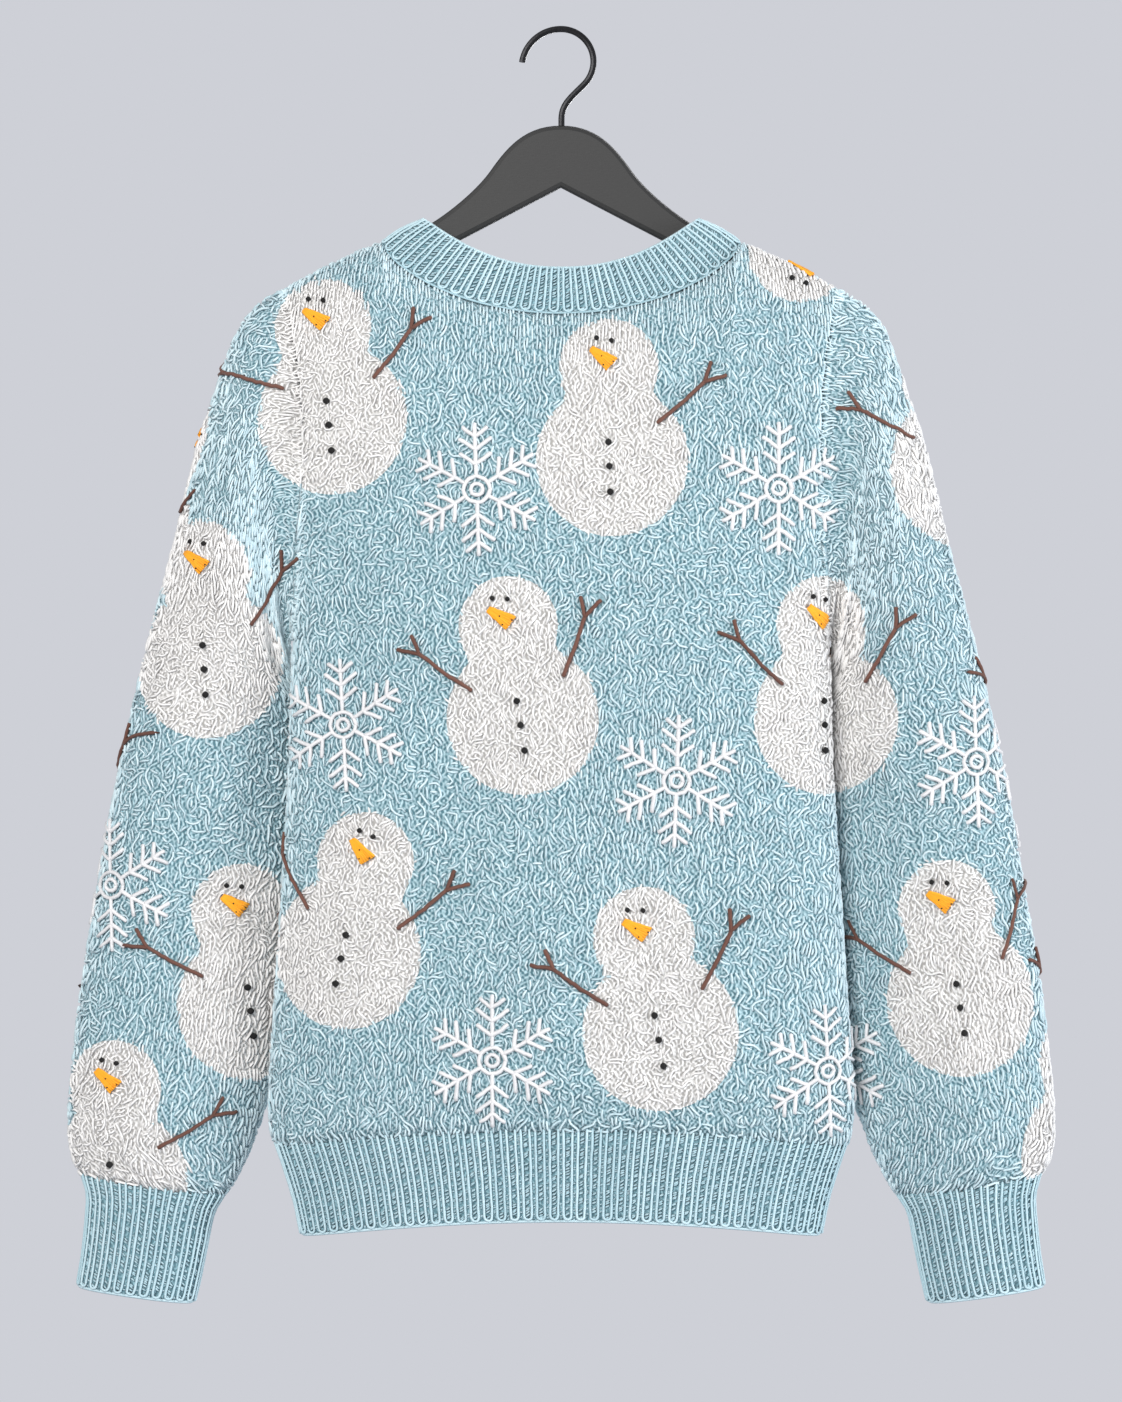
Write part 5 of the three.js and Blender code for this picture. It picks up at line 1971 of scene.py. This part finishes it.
@dataclass
class RibBand:
    """A ribbed band, its rings from the lower edge up, with a ladder of stitches between each two ribs."""

    node: str
    rings: ndarray
    ribs: int
    flat: tuple[float, float]
    seed: int
    free_top: bool = False
    line_offset: float = 0.2
    line_radius: float = 0.88
    line_lift: float = -0.7
    ground_sink: tuple[float, float] = (1.6, 2.5)
    tuck: float = 1.3
    over_seam: float = 3.2
    loop_row: float = 0.55
    loop_rise: float = 0.7
    loop_depth: float = 2.6
    cord_radius: float = 0.95
    free_cord_sink: float = 2.2
    seam_cord_sink: float = 1.3
    links: Stitches = Stitches(0.0, 0.14, 2.9, 1.15, 0.6, 0.3, 0.15)
    ladder: Stitches = Stitches(0.5, 0.25, 2.05, 1.5, 0.85, 1.3, 0.08)

    def __post_init__(self) -> None:
        """Makes the band's patch from its rings."""
        closed = np.concatenate([self.rings, self.rings[:, :1]], axis=1)
        self.patch = ClothPatch(closed, True, closed.shape[1] // 2)
        self.per_rib = (self.patch.columns - 1) // self.ribs

    def build(self, finishes: Finishes) -> None:
        """Builds the band's shell, its lines of yarn, the rungs between them and its edge cords.

        Args:
            finishes: the materials.
        """
        knit = KnitPiece(self.node, self.patch, self.flat, finishes)
        cloth = self.shell()
        cloth.data.materials.append(finishes.rib_ground)
        lines = [self.lines(), self.cord(0)]
        if self.free_top:
            lines.append(self.cord(self.patch.rows - 1))
        knit.add(strand_mesh(self.node + "_lines", lines, 4), finishes.rib_yarn, "rib_knit")
        knit.add(strand_mesh(self.node + "_rungs", [self.rungs()], 3), finishes.rib_yarn, "rib_knit")
        knit.settle(cloth)

    def shell(self) -> Object:
        """Builds the band's ground, deepest under the ladders, and tucks its seamed edge in.

        Returns:
            The shell.
        """
        patch = self.patch
        shallow, deep = self.ground_sink
        phase = np.arange(patch.columns - 1) / self.per_rib
        sink = shallow + (deep - shallow) * (0.5 - 0.5 * np.cos(2 * np.pi * phase))
        normal = patch.normals[:, :-1]
        outer = patch.points[:, :-1] - normal * sink[None, :, None]
        inner = patch.points[:, :-1] - normal * (RIB_WALL - INNER_GAP)
        seam, way = (0, -1) if self.free_top else (-1, 1)
        for face in (outer, inner):
            face[seam] += patch.up_way[seam, :-1] * way * self.tuck
        lengths = np.stack([patch.arc_across, patch.arc_up], axis=-1)
        return shell_mesh(self.node + "_cloth", outer, inner, True, lengths)

    def lines(self) -> Strands:
        """The bright lines on both sides of each ladder, joined by a loop at each free end.

        Returns:
            The lines.
        """
        patch, per_rib = self.patch, self.per_rib
        random = np.random.default_rng(self.seed)
        steps, last = 11, patch.rows - 1
        turn = np.cos(np.radians([30, 60, 90, 120, 150]))
        down = np.linspace(last, self.loop_row, steps)
        row = np.concatenate([down, np.zeros(len(turn)), down[::-1]])
        width = np.concatenate([np.full(steps, 1.0), turn, np.full(steps, -1.0)])
        rise = np.zeros(len(row))
        rise[steps : steps + len(turn)] = self.loop_rise + self.loop_depth * (1 - np.sqrt(1 - turn**2))
        sink = np.zeros(len(row))
        if self.free_top:
            row = np.concatenate([[last, last], row, [last, last]])
            width = np.concatenate([[0.1, 0.7], width, [-0.7, -0.1]])
            rise = np.concatenate([[0.5, 0.3], rise, [0.3, 0.5]])
            sink = np.concatenate([[1.6, 0.6], sink, [0.6, 1.6]])
        else:
            rise[[0, -1]] = self.over_seam
            rise[[1, -2]] = self.over_seam * 0.5
            row[[1, -2]] = last
            sink[[0, -1]] = 0.9
        middle = (np.arange(self.ribs) + 0.5) * per_rib
        column = middle[:, None] + per_rib * (0.5 - self.line_offset) * width[None]
        column += random.normal(0, 0.012 * per_rib, column.shape)
        column = np.mod(column, patch.columns - 1)
        rows = np.repeat(row[None], self.ribs, axis=0)
        lift = self.line_lift - sink[None] + random.normal(0, 0.08, column.shape)
        points, normal = patch.over(rows, column, lift)
        points += patch.read(patch.up_way, rows, column) * rise[None, :, None]
        radii = np.full(column.shape, self.line_radius) * random.uniform(0.9, 1.1, column.shape)
        return Strands(points, normal, radii, random.uniform(0.15, 0.45, self.ribs))

    def cord(self, row: int) -> Strands:
        """A cord all round one edge: the cast-off edge, or the seam's.

        Args:
            row: the edge's row.

        Returns:
            The cord.
        """
        patch = self.patch
        column = np.linspace(0, patch.columns - 1, 3 * self.ribs + 1)
        at = np.full(column.shape, float(row))
        free = (row > 0) == self.free_top
        out = (1 if row > 0 else -1) * (0.3 if free else 0.2)
        sink = self.free_cord_sink if free else self.seam_cord_sink
        points, normal = patch.over(at, column, np.full(column.shape, -sink))
        points += patch.read(patch.up_way, at, column) * out
        radii = np.full(column.shape, self.cord_radius * (1.25 if free else 1.0))
        tone = np.array([0.35 if free else 0.0])
        return Strands(points[None], normal[None], radii[None], tone)

    def rungs(self) -> Strands:
        """The slanted stitches of the ladders, and the small links between each rib's two lines.

        Returns:
            The stitches and links.
        """
        patch, per_rib = self.patch, self.per_rib
        random = np.random.default_rng(self.seed + 7)
        height = float(patch.arc_up[-1].mean() - patch.arc_up[0].mean())
        parts = []
        for kind in (self.links, self.ladder):
            count = int(height / kind.pitch)
            base = (np.arange(count) + 0.5) / count * (patch.rows - 1)
            rib, row = np.meshgrid(np.arange(self.ribs), base)
            rib, row = rib.ravel(), row.ravel() + random.uniform(-0.04, 0.04, rib.size) * (patch.rows - 1)
            spread = np.linspace(-1, 1, 4)[None]
            column = np.mod((rib[:, None] + kind.centre + kind.reach * spread) * per_rib, patch.columns - 1)
            lean = kind.slant * random.uniform(0.5, 1.3, (rib.size, 1)) / height * (patch.rows - 1)
            rows = np.clip(row[:, None] - lean * spread, 0, patch.rows - 1)
            arch = np.array([-0.5, 0.15, 0.15, -0.5])
            lift = -kind.sink + arch[None] + random.normal(0, 0.12, (rib.size, 1))
            points, normal = patch.over(rows, column, lift)
            radii = np.repeat(np.array([[0.3, kind.radius, kind.radius, 0.3]]), rib.size, axis=0)
            parts.append(Strands(points, normal, radii, kind.tone + random.uniform(-0.1, 0.15, rib.size)))
        return joined(parts)


class Bands:
    """The four ribbed bands' rings."""

    PER_RIB = 6
    ROWS = 10
    NECK_ROWS = 7
    NECK_BULGE = 1.6

    def hem(self) -> ndarray:
        """Rings of the hem from its lower edge up to its seam.

        Returns:
            Rings x points x 3.
        """
        rings = []
        keys = np.arange(len(HEM_ROWS), dtype=float)
        for at in np.linspace(len(HEM_ROWS) - 1, 0, self.ROWS):
            names = ("z", "half_width", "back", "front")
            row = BodyRow(*[float(smooth_table(keys, column_of(HEM_ROWS, name), at)) for name in names])
            halves = []
            for half, depth, start in ((Half.BACK.value, row.back, 1), (Half.FRONT.value, row.front, -1)):
                a = np.linspace(0, np.pi, 321)
                u = start * signed_power(np.cos(a), 2 / half.boxy)
                y = half.side * depth * np.sin(a) ** (2 / half.boxy)
                line = np.stack([u * row.half_width, y, row.z + HEM_SIDES_HANG * (1 - u * u)], axis=1)
                halves.append(evenly(line, self.PER_RIB * HEM_RIBS)[:-1])
            rings.append(np.concatenate(halves))
        return np.array(rings)

    def cuff(self, side: Side) -> ndarray:
        """Rings of a cuff from its lower edge up to its seam.

        Args:
            side: which cuff it is.

        Returns:
            Rings x points x 3.
        """
        degrees = np.linspace(0, 360, FINE_ROUND)
        at = np.linspace(len(CUFF) - 1, 0, self.ROWS)
        rings = tube_rings(CUFF, at, CUFF_BOXY, degrees, side.value)
        return np.array([evenly(ring, self.PER_RIB * CUFF_RIBS)[:-1] for ring in rings])

    def neck(self) -> ndarray:
        """Rings of the neck band from its seam up to its free edge.

        Returns:
            Rings x points x 3.
        """
        low, high = [], []
        for half, start in ((Half.BACK.value, 1), (Half.FRONT.value, -1)):
            u = start * np.cos(np.linspace(0, np.pi, 481))
            seam_y = half.side * half.neck_depth * rounded(u, NECK_ROUND)
            seam_z = top_edge(half, 0.99999 * u * NECK_HALF_WIDTH)
            seam = np.stack([u * NECK_HALF_WIDTH, seam_y, seam_z], axis=1)
            top_z = NECK_TOP_SIDE_Z - half.top_drop * (1 - np.abs(u) ** NECK_TOP_CURVE)
            top_y = half.side * half.neck_top_depth * rounded(u, NECK_ROUND)
            top = np.stack([u * NECK_TOP_HALF_WIDTH, top_y, top_z], axis=1)
            count = self.PER_RIB * half.ribs
            low.append(evenly(seam, count)[:-1])
            high.append(evenly(top, count)[:-1])
        low_ring, high_ring = np.concatenate(low), np.concatenate(high)
        closed = np.stack([low_ring, high_ring])
        closed = np.concatenate([closed, closed[:, :1]], axis=1)
        normals = ClothPatch(closed, True, 0).normals[0, :-1]
        bulge = normals * self.NECK_BULGE
        steps = np.linspace(0, 1, self.NECK_ROWS)
        return np.array([lerp(low_ring, high_ring, t) + bulge * math.sin(math.pi * t) for t in steps])


# Layout of the pattern


def in_front(*places: tuple[float, float, float]) -> tuple[Motif, ...]:
    """Motifs on the front, each given by its place and tilt."""
    return tuple(Motif(*place, in_front=True) for place in places)


BACK_MEN = (
    Motif(-150, -231, 6, (22, 47)),
    Motif(32, -258, 2, (None, 39)),
    Motif(-28, -424, 9, (44, 61)),
    Motif(171, -424, 2, (47, 58)),
    Motif(-134, -575, -12, (48, 50)),
    Motif(60, -625, 10, (44, 53), 1.03),
    Motif(159, -107, 172, (None, None)),
)
BACK_FLAKES = (
    Motif(-54, -299, 2),
    Motif(140, -298, 0),
    Motif(-140, -450, 3),
    Motif(74, -486, -2),
    Motif(-44, -665, 0),
    Motif(172, -673, 3),
)
FRONT_MEN = in_front(
    (-140, -250, 5), (50, -290, -4), (-45, -440, -6), (150, -450, 6), (-140, -610, 8), (55, -620, -5)
)
FRONT_FLAKES = in_front(
    (-48, -320, 0), (145, -300, 3), (-142, -470, -3), (52, -490, 2), (-44, -665, 0), (148, -660, 4)
)
SLEEVE_MEN = {
    Side.LEFT: (
        Motif(-150, -231, 6, (22, None)),
        Motif(-230, -388, 3, (None, 57)),
        Motif(-203, -610, 7, (35, None)),
        Motif(-290, -724, 0, (None, 30)),
        Motif(-356, -527, 0, (None, 60)),
        *in_front((-235, -310, -5), (-250, -500, 4), (-245, -675, -6)),
    ),
    Side.RIGHT: (
        Motif(257, -263, 5, (32, None)),
        Motif(171, -424, 2, (None, 58)),
        Motif(256, -607, 9, (41, 65)),
        Motif(345, -706, 4, (None, None)),
        *in_front((225, -440, 6), (262, -640, -4)),
    ),
}
SLEEVE_FLAKES = {
    Side.LEFT: (Motif(-292, -554, 2), *in_front((-232, -395, 0), (-265, -590, 3))),
    Side.RIGHT: (
        Motif(140, -298, 0),
        Motif(269, -474, 2),
        Motif(172, -673, 3),
        *in_front((215, -330, 0), (270, -540, 4)),
    ),
}


# The hanger, stage, light and camera


class Hanger:
    """The painted hanger and its wire hook, whose solids have their true shape."""

    def build(self, finishes: Finishes) -> None:
        """Gives both nodes their finish.

        Args:
            finishes: the materials.
        """
        for node, material in (("hanger", finishes.hanger), ("hook", finishes.hook)):
            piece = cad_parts[node]
            piece.material_slots[0].material = material
            LOG.info("%s dressed", node)


@dataclass(frozen=True)
class Lamp:
    """A square soft light: its name, place and side in metres, its power in watts and its tint."""

    name: str
    place: tuple[float, float, float]
    size: float
    power: float
    tint: tuple[float, float, float]


@dataclass
class Studio:
    """The floor, the lights and the camera."""

    view_height: float = 0.9113
    view_distance: float = 3.3
    view_z: float = -0.43465
    sensor: float = 36.0
    floor_z: float = -1.35
    floor_size: float = 2.2
    ambient: float = 0.6
    air: Colour = (206, 208, 215)
    paint: Colour = (186, 188, 194)
    lamps: tuple[Lamp, ...] = (
        Lamp("key", (-0.9, -2.7, 0.5), 1.5, 83.0, (1.0, 0.985, 0.96)),
        Lamp("fill", (2.4, -0.9, -0.3), 1.4, 48.0, (0.95, 0.975, 1.0)),
        Lamp("rear", (0.9, 2.6, 0.4), 1.8, 80.0, (1.0, 1.0, 1.0)),
    )

    def build(self) -> None:
        """Builds the stage."""
        self.camera()
        self.floor()
        self.air_light()
        for lamp in self.lamps:
            self.light(lamp)

    def camera(self) -> None:
        """A level camera square to the hanger."""
        data = bpy.data.cameras.new("camera")
        data.sensor_width = self.sensor
        data.lens = self.sensor * self.view_distance / self.view_height
        data.clip_end = 60.0
        eye = bpy.data.objects.new("camera", data)
        eye.location = (0.0, -self.view_distance, self.view_z)
        eye.rotation_euler = (math.radians(90), 0.0, 0.0)
        bpy.context.scene.collection.objects.link(eye)
        bpy.context.scene.camera = eye

    def floor(self) -> None:
        """A pale round floor under the jumper."""
        bpy.ops.object.select_all(action="DESELECT")
        bpy.ops.mesh.primitive_circle_add(
            vertices=96, radius=self.floor_size / 2, fill_type="NGON", location=(0, 0, self.floor_z)
        )
        piece = bpy.context.active_object
        piece.name = "floor"
        bpy.ops.object.transform_apply(location=True, rotation=True, scale=True)
        finish = Recipe("floor_paint", Base_Color=linear(self.paint), Roughness=0.9)
        piece.data.materials.append(finish.made)

    def air_light(self) -> None:
        """A soft even light from all round."""
        world = bpy.data.worlds.new("studio")
        world.use_nodes = True
        tree = world.node_tree
        inputs = tree.nodes["Background"].inputs
        seen = node_at(tree, "ShaderNodeLightPath").outputs["Is Camera Ray"]
        strength = node_at(tree, "ShaderNodeMapRange", To_Min=self.ambient, To_Max=1.0, Value=seen)
        feed(tree, inputs["Color"], linear(self.air))
        feed(tree, inputs["Strength"], strength.outputs["Result"])
        bpy.context.scene.world = world
        bpy.context.scene.view_settings.view_transform = "Standard"

    def light(self, lamp: Lamp) -> None:
        """Adds a light that faces the jumper's middle.

        Args:
            lamp: the light.
        """
        data = bpy.data.lights.new(lamp.name, "AREA")
        data.size = lamp.size
        data.energy = lamp.power
        data.color = lamp.tint
        piece = bpy.data.objects.new(lamp.name, data)
        way = np.array([0.0, 0.0, self.view_z]) - np.array(lamp.place)
        flat = math.hypot(way[0], way[1])
        piece.location = lamp.place
        piece.rotation_euler = (math.pi / 2 + math.atan2(way[2], flat), 0.0, math.atan2(-way[0], way[1]))
        bpy.context.scene.collection.objects.link(piece)


def count_triangles() -> int:
    """How many triangles all the meshes of the scene have, the solids' too."""
    meshes = [piece.data for piece in bpy.data.objects if piece.type == "MESH"]
    return sum(len(mesh.loops) - 2 * len(mesh.polygons) for mesh in meshes)


def main() -> None:
    """Builds the jumper, its hanger and the studio."""
    logging.basicConfig(level=logging.INFO)
    Studio().build()
    finishes = Finishes()
    Hanger().build(finishes)
    back = Panel(Half.BACK, BACK_FOLDS)
    front = Panel(Half.FRONT, FRONT_FOLDS)
    panels = (
        (back, PatternedPiece("back_panel", back.patch, (0.50, 0.62), BACK_MEN, BACK_FLAKES, 11, True)),
        (front, PatternedPiece("front_panel", front.patch, (0.50, 0.60), FRONT_MEN, FRONT_FLAKES, 12)),
    )
    for _, piece in panels:
        piece.build(finishes, [])
    for side, seed in ((Side.LEFT, 13), (Side.RIGHT, 14)):
        name = "sleeve_" + side.name.lower()
        patch = Sleeve(side).patch
        men, flakes = SLEEVE_MEN[side], SLEEVE_FLAKES[side]
        sleeve = PatternedPiece(name, patch, (0.46, 0.62), men, flakes, seed, tuck=1.2)
        yarn = ArmholeYarn(seed + 20)
        joins = [yarn.join(piece, sleeve, panel.underarm_row, side) for panel, piece in panels]
        sleeve.build(finishes, joins)
    bands = Bands()
    RibBand("hem_band", bands.hem(), 2 * HEM_RIBS, (0.80, 0.06), 21).build(finishes)
    RibBand("cuff_left", bands.cuff(Side.LEFT), CUFF_RIBS, (0.23, 0.075), 22).build(finishes)
    RibBand("cuff_right", bands.cuff(Side.RIGHT), CUFF_RIBS, (0.23, 0.075), 23).build(finishes)
    neck_ribs = Half.BACK.value.ribs + Half.FRONT.value.ribs
    RibBand("neck_band", bands.neck(), neck_ribs, (0.60, 0.035), 24, free_top=True).build(finishes)
    LOG.info("%d triangles in all", count_triangles())


if __name__ == "__main__":
    main()
